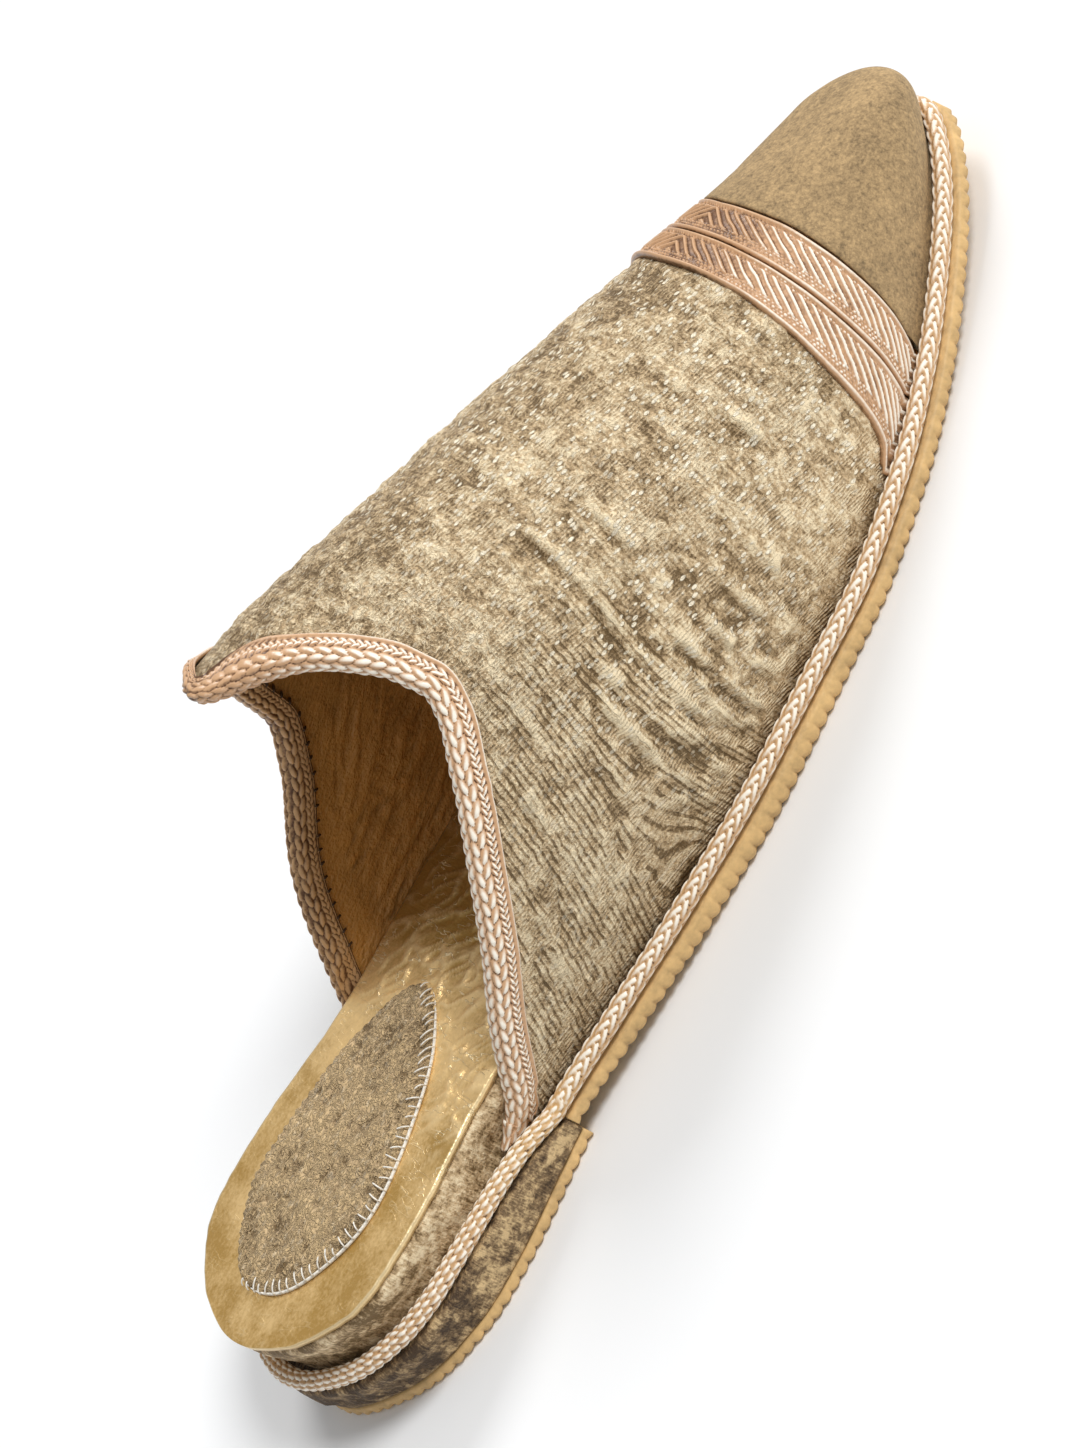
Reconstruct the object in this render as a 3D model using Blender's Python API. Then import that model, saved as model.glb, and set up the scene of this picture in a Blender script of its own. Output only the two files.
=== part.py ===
"""Babouche: a backless, pointed slipper on a low covered heel, as an assembly of its maker's pieces.

Sizes are millimetres until a mesh is made. Stations run along the shoe from the back of the
heel (0) to the tip of the toe (SOLE_LENGTH) and heights are above the floor. Both sides mirror, but
for the throat's edge, which lies further forward on the right.
"""

import math

import bmesh
import bpy
import numpy as np

# Driving sizes
MM = 0.001
SOLE_LENGTH = 262.0
MIDDLE = 131.54
GAP = 0.3
HEEL_BREAST = 66.0
WELD = 1e-7
SHARP_ANGLE = math.radians(40)

# Sole
TOP_PIECE = 2.4
WAIST_RISE = 3.6
TREAD_BACK = 130.0
TREAD_FRONT = 190.0
TOE_SPRING = 7.2
SCALLOP_PITCH = 3.0
SCALLOP_DEPTH = 0.9
SCALLOP_REACH = 4.0
SCALLOP_TUCK = 0.2

# Upper
WALL = 1.8
FEATHER_INSET = 5.0
RIDGE_SLOPE = 0.467
RIDGE_END = 236.0
FAN_START = 200.0
SIDE_RISE = 0.55

# Trims
WELT_RADIUS = 2.0
WELT_INSET = 2.3
BINDING_GAP = 0.45
BINDING_OUTSIDE = 4.6
BINDING_INSIDE = 5.0
BINDING_CLEAR = 1.5
BINDING_FADE = 3.0
BINDING_LEAST = 0.06
BAND_LIFT = 1.2
TOE_CAP_THICKNESS = 0.9

# Footbed
INSOLE = 1.2
HEEL_PAD_BACK = 13.0
HEEL_PAD_FRONT = 77.0
HEEL_PAD_WIDTH = 22.1
HEEL_PAD_TAPER = 0.25
HEEL_PAD_RISE = 1.6
HEEL_PAD_FULL = 14.0
FOOTBED_LEAST = 1.5
INSOLE_INSET = 0.2

# Half width of the sole where the welt braid lies on it
OUTLINE = (
    # station, half_width
    (0.0, 0.0),
    (3.3, 13.2),
    (9.0, 22.4),
    (15.0, 27.6),
    (21.0, 31.0),
    (30.0, 33.4),
    (45.0, 34.3),
    (66.0, 33.6),
    (85.0, 36.0),
    (110.0, 39.7),
    (140.0, 42.7),
    (170.0, 42.7),
    (195.0, 38.6),
    (215.0, 32.4),
    (232.0, 25.1),
    (246.0, 17.9),
    (256.0, 10.4),
    (SOLE_LENGTH, 0.0),
)

# Thickness of the rubber under the forepart
RUBBER = (
    # station, thickness
    (HEEL_BREAST, 2.4),
    (100.0, 3.8),
    (130.0, 4.3),
    (155.0, 3.8),
    (180.0, 3.1),
    (SOLE_LENGTH, 3.0),
)

# Height of the heel's seat, which falls into the waist
HEEL_SEAT = (
    # station, height
    (0.0, 12.0),
    (20.0, 11.8),
    (32.0, 11.6),
    (46.0, 10.9),
    (56.0, 9.4),
    (HEEL_BREAST, WAIST_RISE + RUBBER[0][1]),
)

# How far the heel's foot stands in from its seat
HEEL_TAPER = (
    # station, inset
    (0.0, 0.3),
    (8.0, 1.9),
    (20.0, 1.9),
    (34.0, 0.6),
    (HEEL_BREAST, 0.0),
)

# Height of the footbed under the insole
FOOTBED = (
    # station, height
    (0.0, 26.8),
    (40.0, 22.6),
    (66.0, 19.8),
    (90.0, 16.4),
    (120.0, 11.6),
    (150.0, 8.6),
    (180.0, 7.6),
    (220.0, 9.0),
    (SOLE_LENGTH, 14.6),
)

# How far the footbed stands in from the sole's edge, at its foot and at its top
FOOTBED_INSET = (
    # station, foot, top
    (0.0, 5.0, 5.2),
    (10.0, 5.0, 2.6),
    (20.0, 5.0, 2.0),
    (30.0, 5.0, 2.7),
    (46.0, 5.0, 4.6),
    (57.0, 8.0, 5.8),
    (100.0, 8.1, 7.0),
    (SOLE_LENGTH, 8.3, 8.3),
)

# Side of the footbed: how far the inset has gone from foot to top, and the rounding of the edge
FOOTBED_SIDE = (
    # share of height, share of inset, rounding
    (0.0, 0.0, 0.0),
    (0.3, 0.0, 0.0),
    (0.6, 0.5, 0.0),
    (0.88, 1.0, 0.0),
    (1.0, 1.0, 0.6),
)

# Side of the heel: how much of its taper is left, and the rounding of its edges
HEEL_SIDE = (
    # share of height, share of taper, rounding
    (0.0, 1.0, 0.5),
    (0.1, 1.0, 0.1),
    (0.5, 0.5, 0.0),
    (0.9, 0.0, 0.2),
    (1.0, 0.0, 0.9),
)

# Cross-section of the pad on the heel
PAD_SECTION = (
    # share of half width, share of rise
    (-1.0, 0.0),
    (-1.0, 0.5),
    (-0.86, 0.85),
    (0.0, 1.0),
    (0.86, 0.85),
    (1.0, 0.5),
    (1.0, 0.0),
)

# Height of the upper's ridge
RIDGE = (
    # station, height
    (40.0, 112.0),
    (104.0, 94.6),
    (118.0, 90.0),
    (132.0, 84.0),
    (150.0, 75.2),
    (175.0, 63.7),
    (200.0, 52.5),
    (236.0, 35.3),
    (SOLE_LENGTH, 23.0),
)

# Shape of the upper's cross-section
SECTION = (
    # station, crown, bulge
    (40.0, 0.62, 13.0),
    (104.0, 0.62, 13.0),
    (150.0, 0.62, 12.0),
    (190.0, 0.60, 8.0),
    (225.0, 0.60, 5.0),
    (SOLE_LENGTH, 0.74, 15.5),
)

# Edge of the throat on each side, from the sole (level 0) up to the ridge (level 1)
COLLAR = (
    # level, right station, left station
    (-0.05, 54.5, 53.5),
    (0.00, 61.5, 60.5),
    (0.10, 74.5, 72.8),
    (0.20, 89.0, 85.6),
    (0.30, 101.7, 101.7),
    (0.40, 113.0, 109.6),
    (0.50, 122.4, 110.8),
    (0.56, 125.0, 111.4),
    (0.62, 125.0, 111.6),
    (0.70, 123.2, 111.2),
    (0.78, 120.0, 110.2),
    (0.84, 115.8, 109.0),
    (0.90, 110.6, 107.5),
    (0.95, 107.0, 106.1),
    (1.00, 105.2, 105.2),
)

# Where the edges of the two ribbons cross the toe
BANDS = (
    # level, back, middle, front
    (0.00, 193.5, 208.2, 216.2),
    (0.03, 198.0, 209.4, 217.6),
    (0.13, 201.9, 212.0, 220.7),
    (0.28, 205.2, 214.4, 223.2),
    (0.45, 208.4, 216.5, 225.0),
    (0.65, 210.6, 217.9, 226.1),
    (0.85, 211.2, 218.4, 226.0),
    (1.00, 211.0, 218.4, 225.8),
)

# Cross-section of a ribbon, with a rolled cord along each edge
RIBBON = (
    # share of width, share of BAND_LIFT
    (0.0, 0.7),
    (0.09, 1.3),
    (0.2, 0.8),
    (0.8, 0.8),
    (0.91, 1.3),
    (1.0, 0.7),
)

# Section of the binding folded over the throat's edge
BINDING = (
    # into the upper, out from it
    (BINDING_OUTSIDE, BINDING_GAP),
    (BINDING_OUTSIDE, 1.5),
    (BINDING_OUTSIDE - 1.2, 2.1),
    (2.0, 2.2),
    (0.0, 2.1),
    (-1.7, 1.1),
    (-2.3, -0.9),
    (-1.7, -2.9),
    (0.0, -3.7),
    (2.5, -3.8),
    (BINDING_INSIDE, -3.3),
    (BINDING_INSIDE, -WALL - BINDING_GAP),
    (-BINDING_GAP, -WALL - BINDING_GAP),
    (-BINDING_GAP, BINDING_GAP),
)

# Fineness of the surfaces
HEEL_STATIONS = 24
FOOTBED_STATIONS = 44
INSOLE_STATIONS = 48
PAD_STATIONS = 22
UPPER_LEVELS = 21
UPPER_STATIONS = 16
TOE_CAP_STATIONS = 9
TOE_LEVELS = np.linspace(0.01, 1, 14)
BINDING_STATIONS = 26
WELT_STATIONS = 43
WELT_CORNERS = 7


def column(table, index):
    return np.array([row[index] for row in table])


def smooth(table, index, at):
    """Value of one column between a table's rows: a cubic that never overshoots its rows."""
    knots = column(table, 0)
    values = column(table, index)
    steps = np.diff(knots)
    slopes = np.diff(values) / steps
    products = slopes[:-1] * slopes[1:]
    sums = slopes[:-1] + slopes[1:]
    inner = np.where(products > 0, 2 * products / np.where(sums == 0, 1, sums), 0)
    tangents = np.concatenate([slopes[:1], inner, slopes[-1:]])
    at = np.clip(at, knots[0], knots[-1])
    row = np.clip(np.searchsorted(knots, at, side="right") - 1, 0, len(steps) - 1)
    part = (at - knots[row]) / steps[row]
    start = values[row] * (1 + 2 * part) * (1 - part) ** 2
    end = values[row + 1] * part**2 * (3 - 2 * part)
    lean_in = tangents[row] * steps[row] * part * (1 - part) ** 2
    lean_out = tangents[row + 1] * steps[row] * part**2 * (part - 1)
    return start + end + lean_in + lean_out


SQUARED = tuple((station, width**2) for station, width in OUTLINE)


def edge(turn, inset=0.0):
    """(station, half width) of the sole's edge, moved in by inset. Turn runs from 0, heel, to 1, toe."""

    def raw(at):
        station = SOLE_LENGTH / 2 * (1 - np.cos(np.pi * np.clip(at, 0, 1)))
        width = np.sqrt(np.maximum(smooth(SQUARED, 1, station), 0))
        return station, np.where((at < 0) | (at > 1), -width, width)

    step = 1e-3
    station, width = raw(turn)
    after, before = raw(turn + step), raw(turn - step)
    along = np.stack([after[0] - before[0], after[1] - before[1]])
    along = along / np.maximum(np.hypot(*along), 1e-9)
    return station + inset * along[1], width - inset * along[0]


def half_width(station, inset):
    """Half width of the sole at a station, moved in by inset."""
    stations, widths = edge(np.linspace(0, 1, 800), inset)
    return np.sqrt(np.maximum(np.interp(station, stations, np.maximum(widths, 0) ** 2), 0))


def turn_at(station):
    return np.arccos(1 - 2 * np.asarray(station) / SOLE_LENGTH) / np.pi


def rubber_bottom(station):
    """Underside of the forepart: up into the waist, flat under the ball, up again into the toe spring."""
    waist = np.clip((TREAD_BACK - station) / (TREAD_BACK - HEEL_BREAST), 0, None)
    toe = np.clip((station - TREAD_FRONT) / (SOLE_LENGTH - TREAD_FRONT), 0, None)
    return WAIST_RISE * waist**1.5 + TOE_SPRING * toe**2


def seat(station):
    """Height of the seam that the upper, the footbed and the welt braid stand on."""
    forepart = rubber_bottom(station) + smooth(RUBBER, 1, station)
    return np.where(station < HEEL_BREAST, smooth(HEEL_SEAT, 1, station), forepart)


def ridge(station):
    return smooth(RIDGE, 1, station)


WELT_TALL = 2 * WELT_RADIUS + 2 * GAP
SKIRT = COLLAR[0][0]
BINDING_START = 0.005
FEATHER_BACK = 40.0
FEATHER_TIP = SOLE_LENGTH - FEATHER_INSET


def feather_station(along):
    """Station of the upper's lower edge. Along runs 0 at the back of the wings to 1 at the toe."""
    return FEATHER_BACK + (FEATHER_TIP - FEATHER_BACK) * np.sin(np.pi / 2 * along)


def along_at(station):
    return 2 / np.pi * np.arcsin((np.asarray(station) - FEATHER_BACK) / (FEATHER_TIP - FEATHER_BACK))


def last(along, level):
    """Left half of the upper's outer surface: a curve from the welt braid (level 0) to the ridge (level 1).

    Below level 0 it goes straight down behind the braid, to SKIRT at the sole.
    """
    step = 1e-3
    station = feather_station(along)
    width = half_width(station, FEATHER_INSET)
    ahead = half_width(feather_station(np.minimum(along + step, 1)), FEATHER_INSET)
    behind = half_width(feather_station(along - step), FEATHER_INSET)
    run = feather_station(along + step) - feather_station(along - step)
    lean = np.where(along + step > 1, -2 * behind, ahead - behind)
    size = np.maximum(np.hypot(run, lean), 1e-9)
    out_x, out_y = -lean / size, run / size

    past = np.clip(station - FAN_START, 0, None)
    fan = (FEATHER_TIP - RIDGE_END) / (FEATHER_TIP - FAN_START) ** 2
    top = station - fan * past**2
    foot_z, top_z = seat(station) + WELT_TALL, ridge(top)
    crown, bulge = smooth(SECTION, 1, station), smooth(SECTION, 2, station)
    reach = crown * np.hypot(station - top, width)

    foot = np.stack([station, width, foot_z], -1)
    side = foot + np.stack([bulge * out_x, bulge * out_y, SIDE_RISE * (top_z - foot_z)], -1)
    crest = np.stack([top, np.zeros_like(top), top_z], -1)
    brow = crest + np.stack([reach * out_x, reach * out_y, -RIDGE_SLOPE * reach * out_x], -1)
    drop = np.minimum(level, 0)[..., None] * np.array([0, 0, (WELT_TALL - GAP) / -SKIRT])
    level = np.maximum(level, 0)[..., None]
    return (
        foot * (1 - level) ** 3
        + 3 * side * level * (1 - level) ** 2
        + 3 * brow * level**2 * (1 - level)
        + crest * level**3
        + drop
    )


def along_over(across, level):
    """Where to start along the lower edge for a line up the upper that passes across at this level."""
    station = across
    for _ in range(10):
        station = station + across - last(along_at(station), level)[..., 0]
    return along_at(station)


def upper(along, level, side, out):
    """Point of the upper, out millimetres from its outer surface, on the side -1 (right) or 1 (left)."""
    along, level = np.broadcast_arrays(along, level)
    step = 2e-3
    near_along, near_level = np.clip(along, 0, 0.99), np.clip(level, SKIRT, 0.99)
    forward = last(near_along + step, near_level) - last(near_along - step, near_level)
    up = last(near_along, near_level + step) - last(near_along, near_level - step)
    normal = np.cross(up, forward)
    off_centre = (level < 1 - 1e-6) & (along < 1 - 1e-6)
    normal[..., 1] *= off_centre
    normal /= np.linalg.norm(normal, axis=-1, keepdims=True)
    point = last(along, level) + np.asarray(out)[..., None] * normal
    point[..., 1] *= side * off_centre
    return point


def material(name, colour, roughness, metallic=0.0):
    made = bpy.data.materials.new(name)
    made.use_nodes = True
    shader = made.node_tree.nodes["Principled BSDF"]
    shader.inputs["Base Color"].default_value = (*colour, 1)
    shader.inputs["Roughness"].default_value = roughness
    shader.inputs["Metallic"].default_value = metallic
    return made


def solid(name, points, faces, finish):
    """One closed object from points in millimetres. Points that coincide are joined."""
    mesh = bpy.data.meshes.new(name)
    shift = np.array([MIDDLE, 0, 0])
    form = bmesh.new()
    corners = [form.verts.new(point) for point in (points - shift) * MM]
    for face in faces:
        form.faces.new([corners[index] for index in face])
    bmesh.ops.remove_doubles(form, verts=form.verts, dist=WELD)
    bmesh.ops.dissolve_degenerate(form, edges=form.edges, dist=WELD)
    bmesh.ops.recalc_face_normals(form, faces=form.faces)
    form.to_mesh(mesh)
    form.free()
    mesh.shade_smooth()
    mesh.set_sharp_from_angle(angle=SHARP_ANGLE)
    mesh.materials.append(finish)
    made = bpy.data.objects.new(name, mesh)
    bpy.context.scene.collection.objects.link(made)
    return made


def loft(name, rings, finish, loop=False):
    """Skin over closed sections. An end that has width gets a cap, and a loop joins its two ends."""
    sections, count = rings.shape[:2]
    faces = []
    for a in range(sections if loop else sections - 1):
        b = (a + 1) % sections
        for i in range(count):
            j = (i + 1) % count
            faces.append((a * count + i, a * count + j, b * count + j, b * count + i))
    if not loop:
        for end in (0, sections - 1):
            if np.ptp(rings[end, :, 1]) > GAP:
                faces.append(tuple(range(end * count, end * count + count)))
    return solid(name, rings.reshape(-1, 3), faces, finish)


def shell(name, outer, inner, finish):
    """Wall between two grids of points, closed along its edges. An edge folded onto y = 0 stays joined."""
    rows, count = outer.shape[:2]
    faces = []
    for base, flip in ((0, 1), (rows * count, -1)):
        for a in range(rows - 1):
            for i in range(count - 1):
                corner = base + a * count + i
                faces.append((corner, corner + 1, corner + count + 1, corner + count)[::flip])
    borders = [[a * count for a in range(rows)], [a * count + count - 1 for a in range(rows)]]
    for a in (0, rows - 1):
        if np.ptp(outer[a, :, 1]) > GAP:
            borders.append([a * count + i for i in range(count)])
    under = rows * count
    for border in borders:
        for first, second in zip(border, border[1:]):
            faces.append((first, second, second + under, first + under))
    return solid(name, np.concatenate([outer.reshape(-1, 3), inner.reshape(-1, 3)]), faces, finish)


def slab(name, turns, levels, finish, back=0.0, front=SOLE_LENGTH):
    """Layer of the sole: each level is (inset, height) per turn, from the underside's edge to the top's."""
    rings = []
    for inset, height in levels:
        station, width = edge(turns, inset)
        station = np.clip(station, back, front)
        rings.append(np.stack([station, -np.maximum(width, 0), height], -1))
    right = np.stack(rings, 1)
    left = right[:, ::-1] * np.array([1, -1, 1])
    return loft(name, np.concatenate([right, left], 1), finish)


def scallops(back, front):
    """Turns and heights of the rubber's wavy lower edge: a lobe for each pitch of the way round it."""
    turns = np.linspace(turn_at(back), turn_at(front), 4000)
    station, width = edge(turns)
    way = np.concatenate([[0], np.cumsum(np.hypot(np.diff(station), np.diff(width)))])
    stops = np.linspace(0, way[-1], 2 * round(way[-1] / SCALLOP_PITCH) + 1)
    return np.interp(stops, way, turns), SCALLOP_DEPTH * (np.arange(len(stops)) % 2)


def make_outsole(finish):
    back = HEEL_BREAST + GAP
    turns, wave = scallops(back, SOLE_LENGTH)
    station, width = edge(turns)
    bottom = rubber_bottom(station)
    reach = np.minimum(SCALLOP_REACH, width)
    levels = [(reach, bottom), (0.0, bottom + wave), (SCALLOP_TUCK, seat(station))]
    return slab("outsole", turns, levels, finish, back=back)


def make_top_piece(finish):
    turns, wave = scallops(0.0, HEEL_BREAST)
    station, width = edge(turns)
    flat = np.zeros_like(station)
    taper = smooth(HEEL_TAPER, 1, station)
    reach = taper + np.minimum(SCALLOP_REACH, width)
    levels = [(reach, flat), (taper, wave), (taper + SCALLOP_TUCK, flat + TOP_PIECE)]
    return slab("heel_top_piece", turns, levels, finish, front=HEEL_BREAST)


def make_heel_lift(finish):
    turns = np.linspace(0, turn_at(HEEL_BREAST), HEEL_STATIONS)
    station = edge(turns)[0]
    foot = TOP_PIECE + GAP
    tall = seat(station) - foot
    taper = smooth(HEEL_TAPER, 1, station)
    levels = [(share * taper + rounding, foot + up * tall) for up, share, rounding in HEEL_SIDE]
    return slab("heel_lift", turns, levels, finish, front=HEEL_BREAST)


def footbed_top(station):
    return np.maximum(smooth(FOOTBED, 1, station), seat(station) + GAP + FOOTBED_LEAST)


def make_footbed(finish):
    turns = np.linspace(0, 1, FOOTBED_STATIONS)
    station = edge(turns, FEATHER_INSET)[0]
    foot = seat(station) + GAP
    tall = footbed_top(station) - foot
    low, high = smooth(FOOTBED_INSET, 1, station), smooth(FOOTBED_INSET, 2, station)
    levels = [
        (low + share * (high - low) + rounding, foot + up * tall) for up, share, rounding in FOOTBED_SIDE
    ]
    return slab("footbed", turns, levels, finish)


def make_insole(finish):
    turns = np.linspace(0, 1, INSOLE_STATIONS)
    station = edge(turns, FEATHER_INSET)[0]
    foot = footbed_top(station) + GAP
    inset = smooth(FOOTBED_INSET, 2, station) + INSOLE_INSET
    levels = [(inset, foot), (inset, foot + INSOLE)]
    return slab("insole", turns, levels, finish)


def heel_pad_outline(share):
    """Half width of the egg-shaped pad, broad behind and narrow in front, at a share of its length."""
    round_off = np.sqrt(np.maximum(np.sin(np.pi * share**0.8), 0))
    return HEEL_PAD_WIDTH * round_off * (1 - HEEL_PAD_TAPER * share)


def make_heel_pad(finish):
    share = (1 - np.cos(np.linspace(0, np.pi, PAD_STATIONS))) / 2
    station = HEEL_PAD_BACK + (HEEL_PAD_FRONT - HEEL_PAD_BACK) * share
    width = heel_pad_outline(share)
    foot = footbed_top(station) + INSOLE + 2 * GAP
    rise = HEEL_PAD_RISE * np.sqrt(np.clip(width / HEEL_PAD_FULL, 0, 1))
    rings = []
    for across, lift in PAD_SECTION:
        rings.append(np.stack([station, across * width, foot + lift * rise], -1))
    return loft("heel_pad", np.stack(rings, 1), finish)


def make_upper(finish):
    levels = np.concatenate([[SKIRT], np.linspace(0, 1, UPPER_LEVELS)])
    shares = np.linspace(0, 1, UPPER_STATIONS)[:, None]
    grids = []
    for out in (0.0, -WALL):
        halves = []
        for side in (-1, 1):
            start = rim(levels, side)
            along = start + (1 - start) * shares
            halves.append(upper(along, levels, side, np.full(along.shape, out)))
        grids.append(np.concatenate([halves[0], halves[1][:, -2::-1]], 1))
    return shell("upper", grids[0], grids[1], finish)


def make_toe_cap(finish):
    front = along_over(smooth(BANDS, 3, TOE_LEVELS) + GAP, TOE_LEVELS)
    along = front + (1 - front) * np.linspace(0, 1, TOE_CAP_STATIONS)[:, None]
    level = np.broadcast_to(TOE_LEVELS, along.shape)
    grids = []
    for out in (GAP + TOE_CAP_THICKNESS, GAP):
        right = upper(along, level, -1, np.full(along.shape, out))
        left = upper(along, level, 1, np.full(along.shape, out))
        grids.append(np.concatenate([right, left[:, -2::-1]], 1))
    return shell("toe_cap", grids[0], grids[1], finish)


def make_band(name, back, front, finish):
    """Ribbon over the toe between two columns of BANDS, with a rolled cord along each edge."""
    shares = column(RIBBON, 0)[:, None]
    lifts = GAP + BAND_LIFT * column(RIBBON, 1)[:, None]
    behind = smooth(BANDS, back, TOE_LEVELS) + GAP / 2
    ahead = smooth(BANDS, front, TOE_LEVELS) - GAP / 2
    along = along_over(behind + (ahead - behind) * shares, TOE_LEVELS)
    level = np.broadcast_to(TOE_LEVELS, along.shape)
    grids = []
    for out in (lifts, GAP):
        out = np.broadcast_to(out, along.shape)
        right = upper(along, level, -1, out)
        left = upper(along, level, 1, out)
        grids.append(np.concatenate([right, left[:, -2::-1]], 1))
    return shell(name, grids[0], grids[1], finish)


def rim(level, side):
    """Where the throat's edge lies along the upper at each level, on the side -1 (right) or 1 (left)."""
    return along_at(smooth(COLLAR, 1 if side < 0 else 2, level))


def binding_line(into, count, side):
    """(along, level) of a line that keeps its distance into the upper from the throat's edge.

    It starts above the welt braid and ends on the ridge.
    """
    step = 1e-3
    levels = np.linspace(COLLAR[0][0] + step, 1 - step, 900)
    along = rim(levels, side)
    run = last(rim(levels + step, side), levels + step) - last(rim(levels - step, side), levels - step)
    by_along = (last(along + step, levels) - last(along - step, levels)) / (2 * step)
    by_level = (last(along, levels + step) - last(along, levels - step)) / (2 * step)
    heading = np.cross(run, np.cross(by_level, by_along))
    heading /= np.linalg.norm(heading, axis=-1, keepdims=True)
    heading *= np.where((heading * by_along).sum(-1, keepdims=True) < 0, -1, 1)
    aa, bb, ab = (by_along**2).sum(-1), (by_level**2).sum(-1), (by_along * by_level).sum(-1)
    ha, hb = (heading * by_along).sum(-1), (heading * by_level).sum(-1)
    along = along + into * (ha * bb - hb * ab) / (aa * bb - ab**2)
    level = levels + into * (hb * aa - ha * ab) / (aa * bb - ab**2)
    first = np.argmax(level >= BINDING_START)
    over = level >= 1
    final = np.argmax(over) if over.any() else len(levels) - 1
    index = np.arange(len(levels))
    at = np.linspace(first, final, count)
    level = np.interp(at, index, level)
    level[-1] = 1
    return np.interp(at, index, along), level


def make_binding(finish):
    sides = []
    for side in (-1, 1):
        points = []
        for into, out in BINDING:
            along, level = binding_line(into, BINDING_STATIONS, side)
            clear = last(along, level)[:, 2] - footbed_top(feather_station(along)) - INSOLE - BINDING_CLEAR
            inside = -WALL - BINDING_GAP
            thick = np.clip(clear / BINDING_FADE, BINDING_LEAST, 1)
            offset = np.where(out < inside, inside + (out - inside) * thick, out)
            points.append(upper(along, level, side, offset))
        sides.append(np.stack(points, 1))
    rings = np.concatenate([sides[0], sides[1][-2::-1]], 0)
    return loft("collar_binding", rings, finish)


def make_welt(finish):
    turns = np.linspace(0, 1, WELT_STATIONS)
    corners = np.linspace(0, 2 * np.pi, WELT_CORNERS, endpoint=False)
    rings = []
    for corner in corners:
        station, width = edge(turns, WELT_INSET - WELT_RADIUS * math.cos(corner))
        height = seat(edge(turns, WELT_INSET)[0]) + GAP + WELT_RADIUS * (1 + math.sin(corner))
        rings.append(np.stack([station, -width, height], -1))
    right = np.stack(rings, 1)
    left = right[-2:0:-1] * np.array([1, -1, 1])
    return loft("welt_braid", np.concatenate([right, left]), finish, loop=True)


def main():
    for old in list(bpy.data.objects):
        bpy.data.objects.remove(old)
    velvet = material("velvet", (0.36, 0.29, 0.19), 0.75)
    suede = material("suede", (0.34, 0.26, 0.16), 0.9)
    braid = material("braid", (0.66, 0.47, 0.33), 0.4)
    rubber = material("rubber", (0.60, 0.43, 0.22), 0.7)
    leather = material("gold_leather", (0.55, 0.41, 0.19), 0.35, 0.3)
    make_outsole(rubber)
    make_top_piece(rubber)
    make_heel_lift(velvet)
    make_footbed(velvet)
    make_insole(leather)
    make_heel_pad(velvet)
    make_upper(velvet)
    make_toe_cap(suede)
    make_band("toe_band_back", 1, 2, braid)
    make_band("toe_band_front", 2, 3, braid)
    make_binding(braid)
    make_welt(braid)


main()
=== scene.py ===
"""Babouche: the looks of a backless, pointed slipper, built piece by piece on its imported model.

Sizes are millimetres until a mesh is made. Stations run along the shoe from the back of the
heel (0) to the tip of the toe (SOLE_LENGTH) and heights are above the floor. Both sides mirror, but
for the throat's edge, which lies further forward on the right.
"""

import math

import bmesh
import bpy
import numpy as np
from bpy.props import FloatProperty, FloatVectorProperty, PointerProperty
from mathutils import Matrix


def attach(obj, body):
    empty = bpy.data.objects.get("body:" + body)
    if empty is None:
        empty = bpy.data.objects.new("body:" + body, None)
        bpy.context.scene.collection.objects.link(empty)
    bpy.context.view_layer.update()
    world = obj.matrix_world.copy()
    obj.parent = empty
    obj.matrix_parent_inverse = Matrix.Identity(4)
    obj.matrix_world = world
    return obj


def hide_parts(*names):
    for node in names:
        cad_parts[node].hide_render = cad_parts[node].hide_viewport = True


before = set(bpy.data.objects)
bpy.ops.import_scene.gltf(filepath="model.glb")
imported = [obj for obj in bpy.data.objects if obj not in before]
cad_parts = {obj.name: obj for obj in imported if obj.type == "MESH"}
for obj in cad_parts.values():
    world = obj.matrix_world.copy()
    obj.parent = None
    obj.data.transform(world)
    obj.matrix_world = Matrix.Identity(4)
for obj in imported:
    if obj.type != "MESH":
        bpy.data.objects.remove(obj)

bl_info = {
    "name": "Babouche",
    "version": (1, 0, 0),
    "blender": (4, 5, 0),
    "location": "View3D > Sidebar > Babouche",
    "description": "Builds a babouche slipper's visible pieces: velvet, suede, plaits, leather and rubber",
    "category": "Object",
}

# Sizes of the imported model
MM = 0.001
SOLE_LENGTH = 262.0
MIDDLE = 131.54
GAP = 0.3
HEEL_BREAST = 66.0
WELD = 1e-7
TOP_PIECE = 2.4
WAIST_RISE = 3.6
TREAD_BACK = 130.0
TREAD_FRONT = 190.0
TOE_SPRING = 7.2
SCALLOP_PITCH = 3.0
SCALLOP_REACH = 4.0
WALL = 1.8
FEATHER_INSET = 5.0
FEATHER_BACK = 40.0
RIDGE_SLOPE = 0.467
RIDGE_END = 236.0
FAN_START = 200.0
SIDE_RISE = 0.55
WELT_RADIUS = 2.0
WELT_INSET = 2.3
BINDING_GAP = 0.45
BINDING_CLEAR = 1.5
BINDING_FADE = 3.0
BINDING_LEAST = 0.06
BINDING_START = -0.02
BINDING_SUNK = 0.6
TOE_CAP_THICKNESS = 0.9
INSOLE = 1.2
FOOTBED_LEAST = 1.5

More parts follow.
